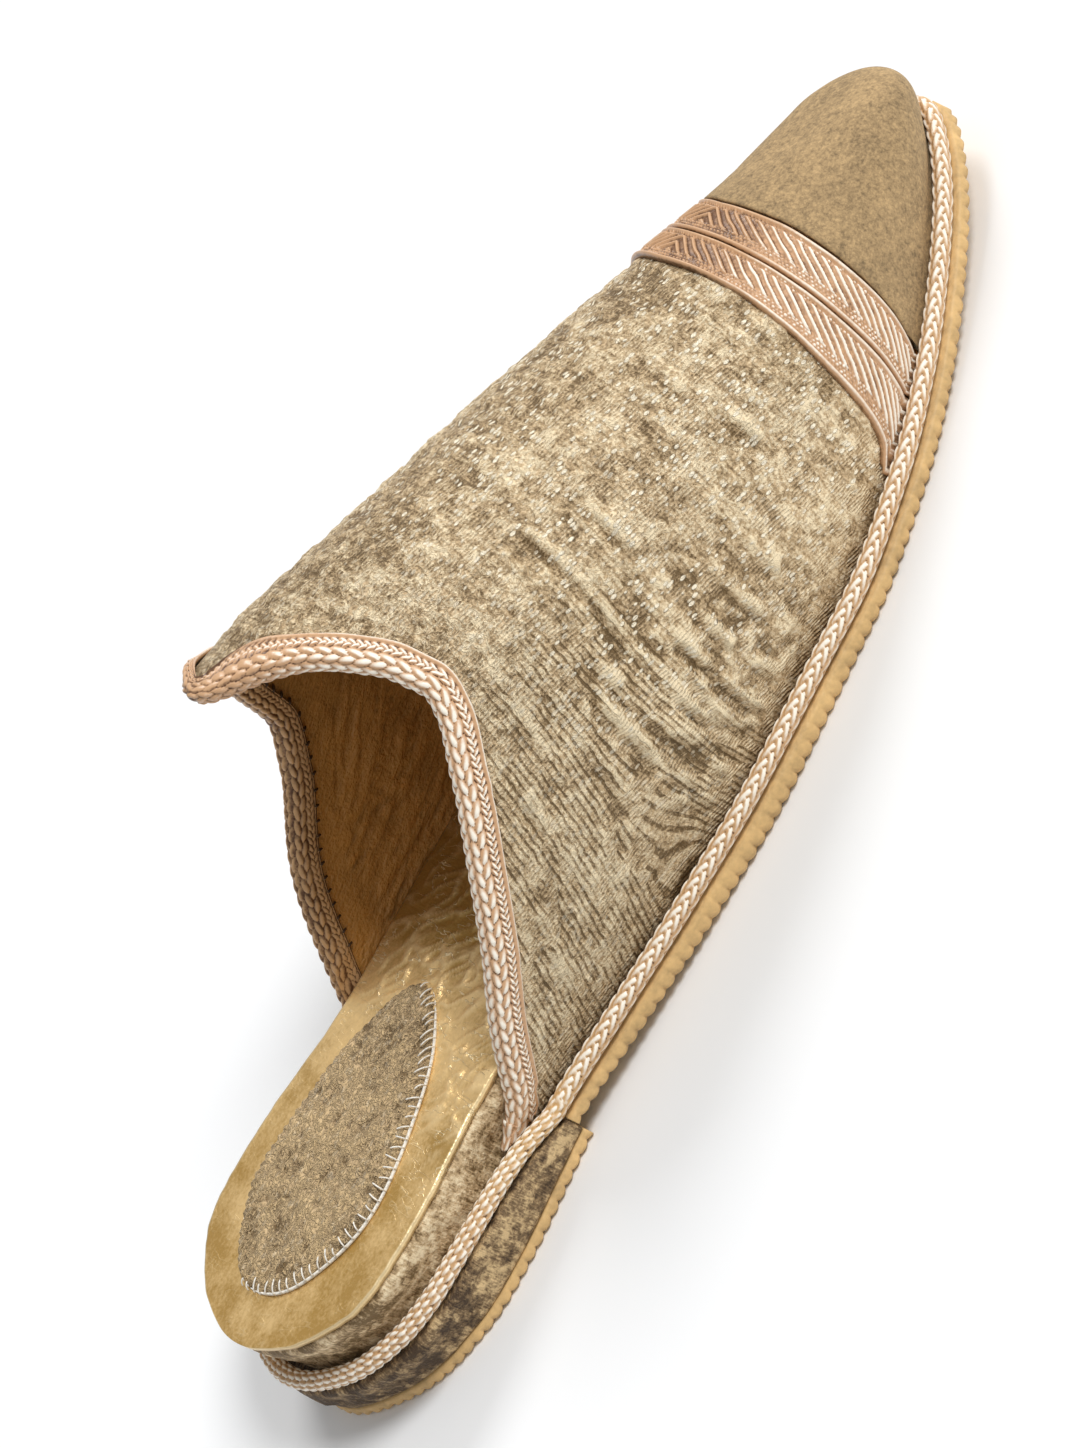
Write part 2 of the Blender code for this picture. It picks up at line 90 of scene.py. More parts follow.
# Half width of the sole where the welt braid lies on it
OUTLINE = (
    # station, half_width
    (0.0, 0.0),
    (3.3, 13.2),
    (9.0, 22.4),
    (15.0, 27.6),
    (21.0, 31.0),
    (30.0, 33.4),
    (45.0, 34.3),
    (66.0, 33.6),
    (85.0, 36.0),
    (110.0, 39.7),
    (140.0, 42.7),
    (170.0, 42.7),
    (195.0, 38.6),
    (215.0, 32.4),
    (232.0, 25.1),
    (246.0, 17.9),
    (256.0, 10.4),
    (SOLE_LENGTH, 0.0),
)

# Thickness of the rubber under the forepart
RUBBER = (
    # station, thickness
    (HEEL_BREAST, 2.4),
    (100.0, 3.8),
    (130.0, 4.3),
    (155.0, 3.8),
    (180.0, 3.1),
    (SOLE_LENGTH, 3.0),
)

# Height of the heel's seat, which falls into the waist
HEEL_SEAT = (
    # station, height
    (0.0, 12.0),
    (20.0, 11.8),
    (32.0, 11.6),
    (46.0, 10.9),
    (56.0, 9.4),
    (HEEL_BREAST, WAIST_RISE + RUBBER[0][1]),
)

# How far the heel's foot stands in from its seat
HEEL_TAPER = (
    # station, inset
    (0.0, 0.3),
    (8.0, 1.9),
    (20.0, 1.9),
    (34.0, 0.6),
    (HEEL_BREAST, 0.0),
)

# Height of the footbed under the insole
FOOTBED = (
    # station, height
    (0.0, 26.8),
    (40.0, 22.6),
    (66.0, 19.8),
    (90.0, 16.4),
    (120.0, 11.6),
    (150.0, 8.6),
    (180.0, 7.6),
    (220.0, 9.0),
    (SOLE_LENGTH, 14.6),
)

# How far the footbed stands in from the sole's edge, at its foot and at its top
FOOTBED_INSET = (
    # station, foot, top
    (0.0, 5.0, 5.2),
    (10.0, 5.0, 2.6),
    (20.0, 5.0, 2.0),
    (30.0, 5.0, 2.7),
    (46.0, 5.0, 4.6),
    (57.0, 8.0, 5.8),
    (100.0, 8.1, 7.0),
    (SOLE_LENGTH, 8.3, 8.3),
)

# Side of the footbed: how far the inset has gone from foot to top, and the rounding of the edge
FOOTBED_SIDE = (
    # share of height, share of inset, rounding
    (0.0, 0.0, 0.0),
    (0.3, 0.0, 0.0),
    (0.6, 0.5, 0.0),
    (0.88, 1.0, 0.0),
    (1.0, 1.0, 0.6),
)

# Side of the heel: how far the taper has gone from foot to top, and the rounding of its edges
HEEL_SIDE = (
    # share of height, share of taper, rounding
    (0.0, 0.0, 0.5),
    (0.1, 0.0, 0.1),
    (0.5, 0.5, 0.0),
    (0.9, 1.0, 0.2),
    (1.0, 1.0, 0.9),
)

# Side of a rubber sole: height, inset, and how much a notch between two lobes adds to each
RUBBER_SIDE = (
    # share of height, inset, notch height, notch inset
    (0.02, 1.4, 0.0, 0.0),
    (0.08, 0.35, 0.1, 0.55),
    (0.24, -0.25, 0.14, 0.7),
    (0.48, -0.2, 0.0, 0.35),
    (0.76, 0.0, 0.0, 0.05),
    (1.0, 0.35, 0.0, 0.0),
)

# Height of the upper's ridge
RIDGE = (
    # station, height
    (40.0, 112.0),
    (104.0, 94.6),
    (118.0, 90.0),
    (132.0, 84.0),
    (150.0, 75.2),
    (175.0, 63.7),
    (200.0, 52.5),
    (236.0, 35.3),
    (SOLE_LENGTH, 23.0),
)

# Shape of the upper's cross-section
SECTION = (
    # station, crown, bulge
    (40.0, 0.62, 13.0),
    (104.0, 0.62, 13.0),
    (150.0, 0.62, 12.0),
    (190.0, 0.60, 8.0),
    (225.0, 0.60, 5.0),
    (SOLE_LENGTH, 0.74, 15.5),
)

# Edge of the throat on each side, from the sole (level 0) up to the ridge (level 1)
COLLAR = (
    # level, right station, left station
    (-0.05, 54.5, 53.5),
    (0.00, 61.5, 60.5),
    (0.10, 74.5, 72.8),
    (0.20, 89.0, 85.6),
    (0.30, 101.7, 101.7),
    (0.40, 113.0, 109.6),
    (0.50, 122.4, 110.8),
    (0.56, 125.0, 111.4),
    (0.62, 125.0, 111.6),
    (0.70, 123.2, 111.2),
    (0.78, 120.0, 110.2),
    (0.84, 115.8, 109.0),
    (0.90, 110.6, 107.5),
    (0.95, 107.0, 106.1),
    (1.00, 105.2, 105.2),
)

# Where the edges of the two ribbons cross the toe
BANDS = (
    # level, back, middle, front
    (0.00, 193.5, 208.2, 216.2),
    (0.03, 198.0, 209.4, 217.6),
    (0.13, 201.9, 212.0, 220.7),
    (0.28, 205.2, 214.4, 223.2),
    (0.45, 208.4, 216.5, 225.0),
    (0.65, 210.6, 217.9, 226.1),
    (0.85, 211.2, 218.4, 226.0),
    (1.00, 211.0, 218.4, 225.8),
)

# Face of the binding, from its edge on the vamp over the fold to its edge on the lining
BINDING_FACE = (
    # step, into the upper, out from it
    (0, 4.6, 0.0),
    (1, 4.5, 0.7),
    (2, 3.3, 1.3),
    (3, 1.8, 1.5),
    (4, 0.1, 1.4),
    (5, -1.1, 0.7),
    (6, -1.6, -0.9),
    (7, -1.1, -2.6),
    (8, 0.1, -3.2),
    (9, 1.4, -3.3),
    (10, 2.6, -3.2),
    (11, 3.5, -2.9),
    (12, 3.6, -2.3),
)

# Strands of the collar's plait, by their distance from the vamp edge of the binding
COLLAR_STRANDS = (
    # centre, half width, share of pitch, phase, slant, overlap, height
    (0.85, 0.6, 1.0, 0.0, 0.0, 0.0, 0.75),
    (2.0, 0.5, 0.5, 0.0, 0.9, 1.15, 0.55),
    (3.0, 0.5, 0.5, 0.5, -0.9, 1.15, 0.6),
    (4.4, 1.0, 1.0, 0.1, 0.4, 1.3, 0.9),
    (5.9, 1.0, 1.0, 0.6, -0.4, 1.3, 0.95),
    (7.4, 1.0, 1.0, 0.1, 0.4, 1.3, 0.9),
    (8.9, 1.0, 1.0, 0.6, -0.4, 1.3, 0.85),
    (10.4, 1.0, 1.0, 0.1, 0.4, 1.3, 0.8),
    (11.8, 0.95, 1.0, 0.6, -0.4, 1.3, 0.7),
    (13.1, 0.7, 0.5, 0.0, 0.7, 1.4, 0.5),
    (14.2, 0.65, 0.5, 0.5, -0.7, 1.4, 0.5),
    (15.1, 0.5, 1.0, 0.0, 0.0, 0.0, 0.5),
)

# Strands of the welt's plait, by their angle round the cord from its outer side, along the forepart
WELT_STRANDS = (
    # angle, half width, share of pitch, phase, slant, overlap, height
    (62.0, 0.95, 1.0, 0.0, -0.8, 1.6, 1.0),
    (20.0, 0.9, 1.0, 0.5, 0.8, 1.6, 0.95),
    (104.0, 0.8, 1.0, 0.5, 0.7, 1.5, 0.75),
    (-20.0, 0.8, 1.0, 0.0, -0.7, 1.5, 0.75),
    (-52.0, 0.6, 1.0, 0.0, 0.0, 0.0, 0.6),
    (-92.0, 0.9, 1.0, 0.6, 0.7, 1.6, 0.4),
    (146.0, 0.9, 1.0, 0.9, -0.7, 1.6, 0.5),
    (192.0, 0.9, 1.0, 0.3, 0.7, 1.6, 0.4),
    (236.0, 0.9, 1.0, 0.8, -0.7, 1.6, 0.4),
)

# Beads of the welt's plait at the heel
WELT_BEADS = (
    # angle, half width, share of pitch, phase, slant, overlap, height
    (116.0, 0.8, 0.75, 0.0, -0.45, 1.3, 0.7),
    (82.0, 0.8, 0.75, 0.35, -0.45, 1.3, 0.95),
    (48.0, 0.8, 0.75, 0.7, -0.45, 1.3, 1.0),
    (14.0, 0.8, 0.75, 0.05, -0.45, 1.3, 0.95),
    (-20.0, 0.8, 0.75, 0.4, -0.45, 1.3, 0.85),
    (-54.0, 0.8, 0.75, 0.75, -0.45, 1.3, 0.7),
    (-96.0, 0.95, 1.0, 0.1, 0.6, 1.6, 0.4),
    (154.0, 0.95, 1.0, 0.9, -0.6, 1.6, 0.5),
    (196.0, 0.9, 1.0, 0.3, 0.7, 1.6, 0.4),
    (230.0, 0.9, 1.0, 0.8, -0.7, 1.6, 0.4),
)

# Outline of the heel pad, once round from its back end
PAD_OUTLINE = (
    # station, aside
    (13.6, 1.4),
    (14.8, -5.2),
    (20.4, -11.4),
    (30.1, -17.3),
    (39.0, -17.8),
    (47.8, -15.9),
    (56.5, -12.6),
    (65.6, -8.2),
    (72.6, -1.0),
    (77.0, 6.0),
    (74.6, 11.8),
    (65.4, 16.4),
    (56.4, 19.6),
    (47.2, 20.8),
    (38.2, 22.4),
    (27.6, 21.2),
    (18.4, 14.4),
    (13.8, 8.4),
)

# Creases of the vamp: places along the fold line, and from where to where round from the ridge
CREASES = (
    # first place, last place, from, to, width, share of depth
    (113.4, 113.0, 24.0, 55.0, 1.5, 1.0),
    (113.9, 110.6, 43.0, 57.0, 1.2, 0.8),
    (123.6, 124.4, 29.0, 46.0, 1.6, 0.8),
    (105.4, 106.8, 49.0, 82.0, 1.7, 1.0),
    (102.2, 101.0, 56.0, 93.0, 1.8, 0.9),
    (113.3, 112.3, 57.0, 82.0, 1.5, 0.9),
    (119.7, 120.6, 58.0, 88.0, 1.6, 0.9),
    (125.8, 126.5, 57.0, 84.0, 1.6, 0.9),
    (132.7, 134.0, 58.0, 76.0, 1.7, 0.8),
    (150.6, 151.2, 19.0, 31.0, 2.0, 0.8),
    (153.7, 154.6, 33.0, 48.0, 2.0, 0.8),
    (89.7, 89.5, 45.0, 62.0, 1.7, 0.6),
    (82.1, 80.3, 60.0, 81.0, 1.8, 0.6),
    (72.1, 68.5, 78.0, 98.0, 1.8, 0.6),
    (96.5, 95.0, 50.0, 84.0, 1.6, 0.5),
    (140.0, 141.5, 50.0, 72.0, 1.8, 0.5),
)

# Lumps of the soft pieces, as sums of noises
TIER_LUMPS = (
    # size along, size across, height, seed
    (6.0, 4.5, 1.0, 3),
    (2.4, 2.4, 0.7, 4),
    (1.0, 1.0, 0.4, 5),
)
TIER_WEAR = (
    # size along, size across, height, seed
    (8.0, 3.5, 1.0, 6),
    (3.0, 1.6, 0.8, 7),
)
PAD_LUMPS = (
    # size along, size across, height, seed
    (5.0, 5.0, 0.3, 11),
    (1.0, 1.0, 0.12, 13),
)
VAMP_LUMPS = (
    # size along, size across, height, seed
    (1.0, 1.4, 0.14, 27),
    (8.0, 9.0, 0.12, 23),
)
TOE_LUMPS = (
    # size along, size across, height, seed
    (6.0, 6.0, 0.12, 41),
    (2.0, 2.0, 0.05, 42),
)

# Steps of the grids: points from one lobe, stitch or strand to the next, and to each point of a sheet's back
LOBE_STEPS = 10
STITCH_STEPS = 10
STRAND_STEPS = 10
BACK_STEP = 4

# Backs of the sheets, out from the upper's outer surface
VAMP_BACK = -0.9
LINING_BACK = -0.95
RIBBON_BACK = 0.05

# Length round the heel pad, over its stitches
PAD_ROUND = 175.0

# Place in the width of the collar's plait that stands for its hidden rows
HIDDEN = -9.0

# Sizes that follow from these
SQUARED = tuple((station, width**2) for station, width in OUTLINE)
FEATHER_TIP = SOLE_LENGTH - FEATHER_INSET
WELT_TALL = 2 * WELT_RADIUS + 2 * GAP
SKIRT = COLLAR[0][0]
BINDING_INSIDE = -WALL - BINDING_GAP

# The photograph's camera: angles round the shoe and above the floor, and its roll
CAMERA_AZIMUTH = math.radians(2.43)
CAMERA_ELEVATION = math.radians(32.35)
CAMERA_ROLL = math.radians(-0.57)
CAMERA_TURN = math.radians(62.0)
CAMERA_DISTANCE = 1100.0
CAMERA_TARGET = (-3.66, 0.0, 26.57)
CAMERA_LENS = 151.45


def length(name, description, default, least=0.001):
    return FloatProperty(
        name=name, description=description, default=default, min=least, unit="LENGTH", precision=5
    )


def colour(name, description, default):
    return FloatVectorProperty(
        name=name, description=description, default=default, subtype="COLOR", size=3, min=0.0, max=1.0
    )


class BaboucheLook(bpy.types.PropertyGroup):
    """Sizes of the soft detail and colours of the materials."""

    welt_pitch: length("Welt pitch", "Length of one strand of the welt's plait", 0.003)
    collar_pitch: length("Collar pitch", "Length of one strand of the collar's plait", 0.0028)
    ribbon_pitch: length("Ribbon pitch", "Distance between the strands of a toe ribbon", 0.0028)
    rib_spacing: length("Rib spacing", "Distance between the ribs of the velvet", 0.0013, 0.0002)
    crease_depth: length("Crease depth", "Depth of the vamp's deepest creases", 0.001, 0.0)
    pad_rise: length("Pad rise", "Height of the heel pad's crown over the insole", 0.0017, 0.0005)
    stitch_spacing: length("Stitch spacing", "Distance between the stitches round the heel pad", 0.0022)
    # The velvet's dark and light colours also serve as painted shade in the hollows of the relief and painted
    # light on its rises.
    velvet: colour("Velvet", "Vamp velvet where it lies half way", (0.555, 0.392, 0.213))
    velvet_dark: colour("Velvet dark", "Vamp velvet in its hollows", (0.17, 0.103, 0.037))
    velvet_light: colour("Velvet light", "Vamp velvet brushed towards the light", (0.92, 0.76, 0.50))
    fleck: colour("Fleck", "Pale woven flecks of the velvet", (1.0, 0.89, 0.68))
    suede: colour("Suede", "Toe cap", (0.365, 0.245, 0.118))
    braid: colour("Braid", "Satin strands of the plaits", (0.62, 0.37, 0.20))
    # Braid shadow is painted shade in the gaps between the strands; braid light is a painted highlight on
    # their crests.
    braid_shadow: colour("Braid shadow", "Gaps between the strands", (0.13, 0.055, 0.02))
    braid_painted_highlight: colour("Braid light", "Crests of the strands", (1.0, 0.93, 0.80))
    braid_gold: colour("Braid gold", "Golden strands of the welt", (0.68, 0.42, 0.14))
    rubber: colour("Rubber", "Crepe rubber soles", (0.66, 0.43, 0.18))
    leather: colour("Leather", "Gold leather insole", (0.80, 0.545, 0.235))
    # Pale colour of the insole's trimmed edge, and the painted highlight on its crinkles and wrinkles.
    leather_edge_and_highlight: colour("Leather light", "Crinkles and cut edge of the insole", (1.0, 0.82, 0.50))
    lining: colour("Lining", "Leather inside the upper", (0.50, 0.24, 0.055))
    tier: colour("Tier", "Velvet of the heel where it lies half way", (0.235, 0.15, 0.07))
    tier_dark: colour("Tier dark", "Velvet of the heel in its hollows", (0.06, 0.032, 0.012))
    tier_light: colour("Tier light", "Velvet of the heel where it is worn", (0.66, 0.47, 0.24))
    pad: colour("Pad", "Velvet of the heel pad where it lies half way", (0.53, 0.375, 0.20))
    thread: colour("Thread", "Sewing thread", (0.95, 0.91, 0.82))
    stitch_dark: colour("Dark thread", "Stitches between collar and lining", (0.10, 0.055, 0.025))
    floor: colour("Floor", "Studio floor", (0.93, 0.94, 0.95))


def column(table, index):
    """One column of a table."""
    return np.array([row[index] for row in table])


def smooth(table, index, at):
    """Value of one column between a table's rows: a cubic that never overshoots its rows."""
    knots = column(table, 0)
    values = column(table, index)
    steps = np.diff(knots)
    slopes = np.diff(values) / steps
    products = slopes[:-1] * slopes[1:]
    sums = slopes[:-1] + slopes[1:]
    inner = np.where(products > 0, 2 * products / np.where(sums == 0, 1, sums), 0)
    tangents = np.concatenate([slopes[:1], inner, slopes[-1:]])
    at = np.clip(at, knots[0], knots[-1])
    row = np.clip(np.searchsorted(knots, at, side="right") - 1, 0, len(steps) - 1)
    part = (at - knots[row]) / steps[row]
    start = values[row] * (1 + 2 * part) * (1 - part) ** 2
    end = values[row + 1] * part**2 * (3 - 2 * part)
    lean_in = tangents[row] * steps[row] * part * (1 - part) ** 2
    lean_out = tangents[row + 1] * steps[row] * part**2 * (part - 1)
    return start + end + lean_in + lean_out


def ease(low, high, at):
    """0 up to low, 1 from high, and a soft step between them."""
    part = np.clip((at - low) / (high - low), 0, 1)
    return part * part * (3 - 2 * part)


def noise(u, v, seed, blur=1.0):
    """Noise from -1 to 1: seeded values at whole numbers, with a soft step as wide as blur between them."""
    lattice = np.random.default_rng(seed).uniform(-1, 1, (64, 64))
    u, v = np.broadcast_arrays(u, v)
    i, j = np.floor(u).astype(int), np.floor(v).astype(int)
    a, b = (ease(0.5 - blur / 2, 0.5 + blur / 2, part) for part in (u - i, v - j))
    low = lattice[i % 64, j % 64] * (1 - a) + lattice[(i + 1) % 64, j % 64] * a
    high = lattice[i % 64, (j + 1) % 64] * (1 - a) + lattice[(i + 1) % 64, (j + 1) % 64] * a
    return low * (1 - b) + high * b


def lumps(table, u, v):
    """Sum of noises over u and v, one for each row of a table of lumps."""
    return sum(height * noise(u / along, v / across, seed) for along, across, height, seed in table)


def travelled(points):
    """Distance from the first point along a row of points."""
    steps = np.linalg.norm(np.diff(points, axis=0), axis=-1)
    return np.concatenate([np.zeros_like(steps[:1]), np.cumsum(steps, axis=0)])


def edge(turn, inset=0.0):
    """(station, half width) of the sole's edge, moved in by inset. Turn runs from 0, heel, to 1, toe."""

    def raw(at):
        station = SOLE_LENGTH / 2 * (1 - np.cos(np.pi * np.clip(at, 0, 1)))
        width = np.sqrt(np.maximum(smooth(SQUARED, 1, station), 0))
        return station, np.where((at < 0) | (at > 1), -width, width)

    step = 1e-3
    station, width = raw(turn)
    after, before = raw(turn + step), raw(turn - step)
    along = np.stack([after[0] - before[0], after[1] - before[1]])
    along = along / np.maximum(np.hypot(*along), 1e-9)
    return station + inset * along[1], width - inset * along[0]


def half_width(station, inset):
    """Half width of the sole at a station, moved in by inset."""
    stations, widths = edge(np.linspace(0, 1, 800), inset)
    return np.sqrt(np.maximum(np.interp(station, stations, np.maximum(widths, 0) ** 2), 0))


def turn_at(station):
    """Turn of the sole's edge that reaches a station, the other way round from edge."""
    return np.arccos(1 - 2 * np.asarray(station) / SOLE_LENGTH) / np.pi


def turns_between(stations, counts):
    """Turns from the first station to the last, in so many even steps from each station to the next."""
    stops = turn_at(stations)
    spans = zip(stops, stops[1:], counts)
    runs = [np.linspace(low, high, count, endpoint=False) for low, high, count in spans]
    return np.concatenate([*runs, stops[-1:]])


def rubber_bottom(station):
    """Underside of the forepart: up into the waist, flat under the ball, up again into the toe spring."""
    waist = np.clip((TREAD_BACK - station) / (TREAD_BACK - HEEL_BREAST), 0, None)
    toe = np.clip((station - TREAD_FRONT) / (SOLE_LENGTH - TREAD_FRONT), 0, None)
    return WAIST_RISE * waist**1.5 + TOE_SPRING * toe**2


def seat(station):
    """Height of the seam that the upper, the footbed and the welt braid stand on."""
    forepart = rubber_bottom(station) + smooth(RUBBER, 1, station)
    return np.where(station < HEEL_BREAST, smooth(HEEL_SEAT, 1, station), forepart)


def footbed_top(station):
    """Height of the footbed, which nowhere comes nearer to its seat than FOOTBED_LEAST."""
    return np.maximum(smooth(FOOTBED, 1, station), seat(station) + GAP + FOOTBED_LEAST)


def insole_top(station):
    """Height of the insole's face."""
    return footbed_top(station) + GAP + INSOLE


def feather_station(along):
    """Station of the upper's lower edge. Along runs 0 at the back of the wings to 1 at the toe."""
    return FEATHER_BACK + (FEATHER_TIP - FEATHER_BACK) * np.sin(np.pi / 2 * along)


def along_at(station):
    """Along of the upper's lower edge at a station, the other way round from feather_station."""
    return 2 / np.pi * np.arcsin((np.asarray(station) - FEATHER_BACK) / (FEATHER_TIP - FEATHER_BACK))


def last(along, level):
    """Left half of the upper's outer surface: a curve from the welt braid (level 0) to the ridge (level 1).

    Below level 0 it goes straight down behind the braid, to SKIRT at the sole.
    """
    step = 1e-3
    station = feather_station(along)
    width = half_width(station, FEATHER_INSET)
    ahead = half_width(feather_station(np.minimum(along + step, 1)), FEATHER_INSET)
    behind = half_width(feather_station(along - step), FEATHER_INSET)
    run = feather_station(along + step) - feather_station(along - step)
    lean = np.where(along + step > 1, -2 * behind, ahead - behind)
    size = np.maximum(np.hypot(run, lean), 1e-9)
    out_x, out_y = -lean / size, run / size

    past = np.clip(station - FAN_START, 0, None)
    fan = (FEATHER_TIP - RIDGE_END) / (FEATHER_TIP - FAN_START) ** 2
    top = station - fan * past**2
    foot_z, top_z = seat(station) + WELT_TALL, smooth(RIDGE, 1, top)
    crown, bulge = smooth(SECTION, 1, station), smooth(SECTION, 2, station)
    reach = crown * np.hypot(station - top, width)

    foot = np.stack([station, width, foot_z], -1)
    side = foot + np.stack([bulge * out_x, bulge * out_y, SIDE_RISE * (top_z - foot_z)], -1)
    crest = np.stack([top, np.zeros_like(top), top_z], -1)
    brow = crest + np.stack([reach * out_x, reach * out_y, -RIDGE_SLOPE * reach * out_x], -1)
    drop = np.minimum(level, 0)[..., None] * np.array([0, 0, (WELT_TALL - GAP) / -SKIRT])
    level = np.maximum(level, 0)[..., None]
    return (
        foot * (1 - level) ** 3
        + 3 * side * level * (1 - level) ** 2
        + 3 * brow * level**2 * (1 - level)
        + crest * level**3
        + drop
    )


def along_over(across, level):
    """Along of the line up the upper that passes a station at this level, found by stepping closer to it."""
    station = across
    for _ in range(10):
        station = station + across - last(along_at(station), level)[..., 0]
    return along_at(station)


def upper(along, level, side, out):
    """Point of the upper, out millimetres from its outer surface, on the side -1 (right) or 1 (left)."""
    along, level = np.broadcast_arrays(along, level)
    step = 2e-3
    near_along, near_level = np.clip(along, 0, 0.99), np.clip(level, SKIRT, 0.99)
    forward = last(near_along + step, near_level) - last(near_along - step, near_level)
    up = last(near_along, near_level + step) - last(near_along, near_level - step)
    normal = np.cross(up, forward)
    off_centre = (level < 1 - 1e-6) & (along < 1 - 1e-6)
    normal[..., 1] *= off_centre
    normal /= np.linalg.norm(normal, axis=-1, keepdims=True)
    point = last(along, level) + np.asarray(out)[..., None] * normal
    point[..., 1] *= side * off_centre
    return point


def both(right, left):
    """Grid of the upper from the right side's foot over the ridge to the left side's foot."""
    return np.concatenate([right, left[:, -2::-1]], 1)


def over_both(along, level, out):
    """Points of the upper on both sides, out millimetres from its outer surface."""
    out = np.broadcast_to(out, np.broadcast_shapes(np.shape(along), np.shape(level), np.shape(out)))
    return both(*[upper(along, level, side, out) for side in (-1, 1)])


def rim(level, side):
    """Where the throat's edge lies along the upper at each level, on the side -1 (right) or 1 (left)."""
    return along_at(smooth(COLLAR, 1 if side < 0 else 2, level))


def binding_line(into, count, side):
    """(along, level, way) of a line that keeps its distance into the upper from the throat's edge.

    It starts above the welt braid and ends on the ridge, and way is measured back along the edge from there.
    """
    step = 1e-3
    levels = np.linspace(COLLAR[0][0] + step, 1 - step, 900)
    along = rim(levels, side)
    way = travelled(last(along, levels))
    run = last(rim(levels + step, side), levels + step) - last(rim(levels - step, side), levels - step)
    by_along = (last(along + step, levels) - last(along - step, levels)) / (2 * step)
    by_level = (last(along, levels + step) - last(along, levels - step)) / (2 * step)
    heading = np.cross(run, np.cross(by_level, by_along))
    heading /= np.linalg.norm(heading, axis=-1, keepdims=True)
    heading *= np.where((heading * by_along).sum(-1, keepdims=True) < 0, -1, 1)
    aa, bb, ab = (by_along**2).sum(-1), (by_level**2).sum(-1), (by_along * by_level).sum(-1)
    ha, hb = (heading * by_along).sum(-1), (heading * by_level).sum(-1)
    along = along + into * (ha * bb - hb * ab) / (aa * bb - ab**2)
    level = levels + into * (hb * aa - ha * ab) / (aa * bb - ab**2)
    first = np.argmax(level >= BINDING_START)
    over = level >= 1
    final = np.argmax(over) if over.any() else len(levels) - 1
    at = np.linspace(way[first], way[final], count)
    level = np.interp(at, way, level)
    level[-1] = 1
    return np.interp(at, way, along), level, way[-1] - at


def strands(u, v, table, pitch, wide):
    """(height, tone) of a plait over its length u and its width v.

    Each row of the table is a line of leaf-shaped strands, one per share of the pitch, that lean by
    their slant and overlap like scales; without overlap it is one round cord. The highest strand shows,
    a groove runs where two meet and its tone falls to painted shade, and each has a painted highlight
    along its crest, most at its front end.
    """
    best, second, painted_crest_light = np.zeros(u.shape), np.zeros(u.shape), np.zeros(u.shape)
    for centre, half, share, phase, slant, overlap, tall in table:
        turn = u / (pitch * share) + phase
        for shift in (-1, 0, 1) if overlap else (0,):
            along = 2 * (turn - np.round(turn) + shift) / overlap if overlap else 0 * turn
            across = wide(v, centre) / half - slant * along
            rise = tall * np.sqrt(np.maximum(1 - along**2 - across**2, 0)) * (1 + 0.3 * along)
            # Painted highlight along each strand's crest, strongest at its front end.
            crest = np.exp(-(((across + 0.15) / 0.46) ** 2)) * (0.55 + 0.45 * along)
            painted_crest_light = np.where(rise > best, crest * (1.5 if share < 0.6 else 1), painted_crest_light)
            second = np.maximum(second, np.minimum(best, rise))
            best = np.maximum(best, rise)
    # Where two strands meet, the tone falls to painted shade.
    seam = ease(0.02, 0.24, best - second)
    return best * (0.6 + 0.4 * seam), seam * (0.25 + 1.05 * np.clip(painted_crest_light, 0, 1))


def quads(rows, cols, loop_rows=False, loop_cols=False):
    """Corners of the faces of a grid of points, which may close on itself either way."""
    a = np.arange(rows if loop_rows else rows - 1)[:, None]
    b = np.arange(cols if loop_cols else cols - 1)
    c, d = (a + 1) % rows, (b + 1) % cols
    return np.stack([a * cols + b, a * cols + d, c * cols + d, c * cols + b], -1).reshape(-1, 4)


def tube(rings, loop=False):
    """Faces over closed sections, with a cap on each end that has width."""
    rows, cols = rings.shape[:2]
    faces = [quads(rows, cols, loop, True)]
    for end in () if loop else (0, rows - 1):
        if np.ptp(rings[end, :, 1]) > GAP:
            faces.append(end * cols + np.arange(cols)[None])
    return faces


def skin(front, back, folded=False):
    """(points, faces) of a sheet: its front grid, its back with fewer points, and its edges.

    The last row of a folded sheet lies double on y = 0 and is joined by its own points.
    """
    rows, cols = front.shape[:2]
    back = back[::BACK_STEP, ::BACK_STEP]
    high, wide = back.shape[:2]
    base = rows * cols
    faces = [quads(rows, cols), base + quads(high, wide)]
    fine, coarse = np.arange(base).reshape(rows, cols), base + np.arange(high * wide).reshape(high, wide)
    borders = [(fine[:, 0], coarse[:, 0]), (fine[:, -1], coarse[:, -1]), (fine[0], coarse[0])]
    if not folded:
        borders.append((fine[-1], coarse[-1]))
    for outer, inner in borders:
        first = np.arange(len(inner) - 1)[:, None]
        run = outer[first * BACK_STEP + np.arange(BACK_STEP, -1, -1)]
        faces.append(np.concatenate([inner[first], inner[first + 1], run], 1))
    return np.concatenate([front.reshape(-1, 3), back.reshape(-1, 3)]), faces


def spread(values):
    """Values of a skin's front grid, followed by those of its back."""
    return np.concatenate([values.ravel(), values[::BACK_STEP, ::BACK_STEP].ravel()])


def threads(paths, radius, sides=6):
    """(points, faces) of many short threads: a round section along each path, drawn in at both ends."""
    count, length = paths.shape[:2]
    forward = np.gradient(paths, axis=1)
    forward /= np.maximum(np.linalg.norm(forward, axis=-1, keepdims=True), 1e-9)
    aside = np.cross(forward, np.array([0.12, 0.23, 1.0]))
    aside /= np.maximum(np.linalg.norm(aside, axis=-1, keepdims=True), 1e-9)
    above = np.cross(aside, forward)
    turn = np.linspace(0, 2 * np.pi, sides, endpoint=False)[:, None]
    thick = radius * np.sqrt(np.maximum(1 - np.linspace(-1, 1, length) ** 6, 0))[:, None, None]
    ring = np.cos(turn) * aside[:, :, None] + np.sin(turn) * above[:, :, None]
    points = paths[:, :, None] + thick * ring
    faces = np.arange(count)[:, None, None] * length * sides + quads(length, sides, False, True)
    return points.reshape(-1, 3), [faces.reshape(-1, 4)]


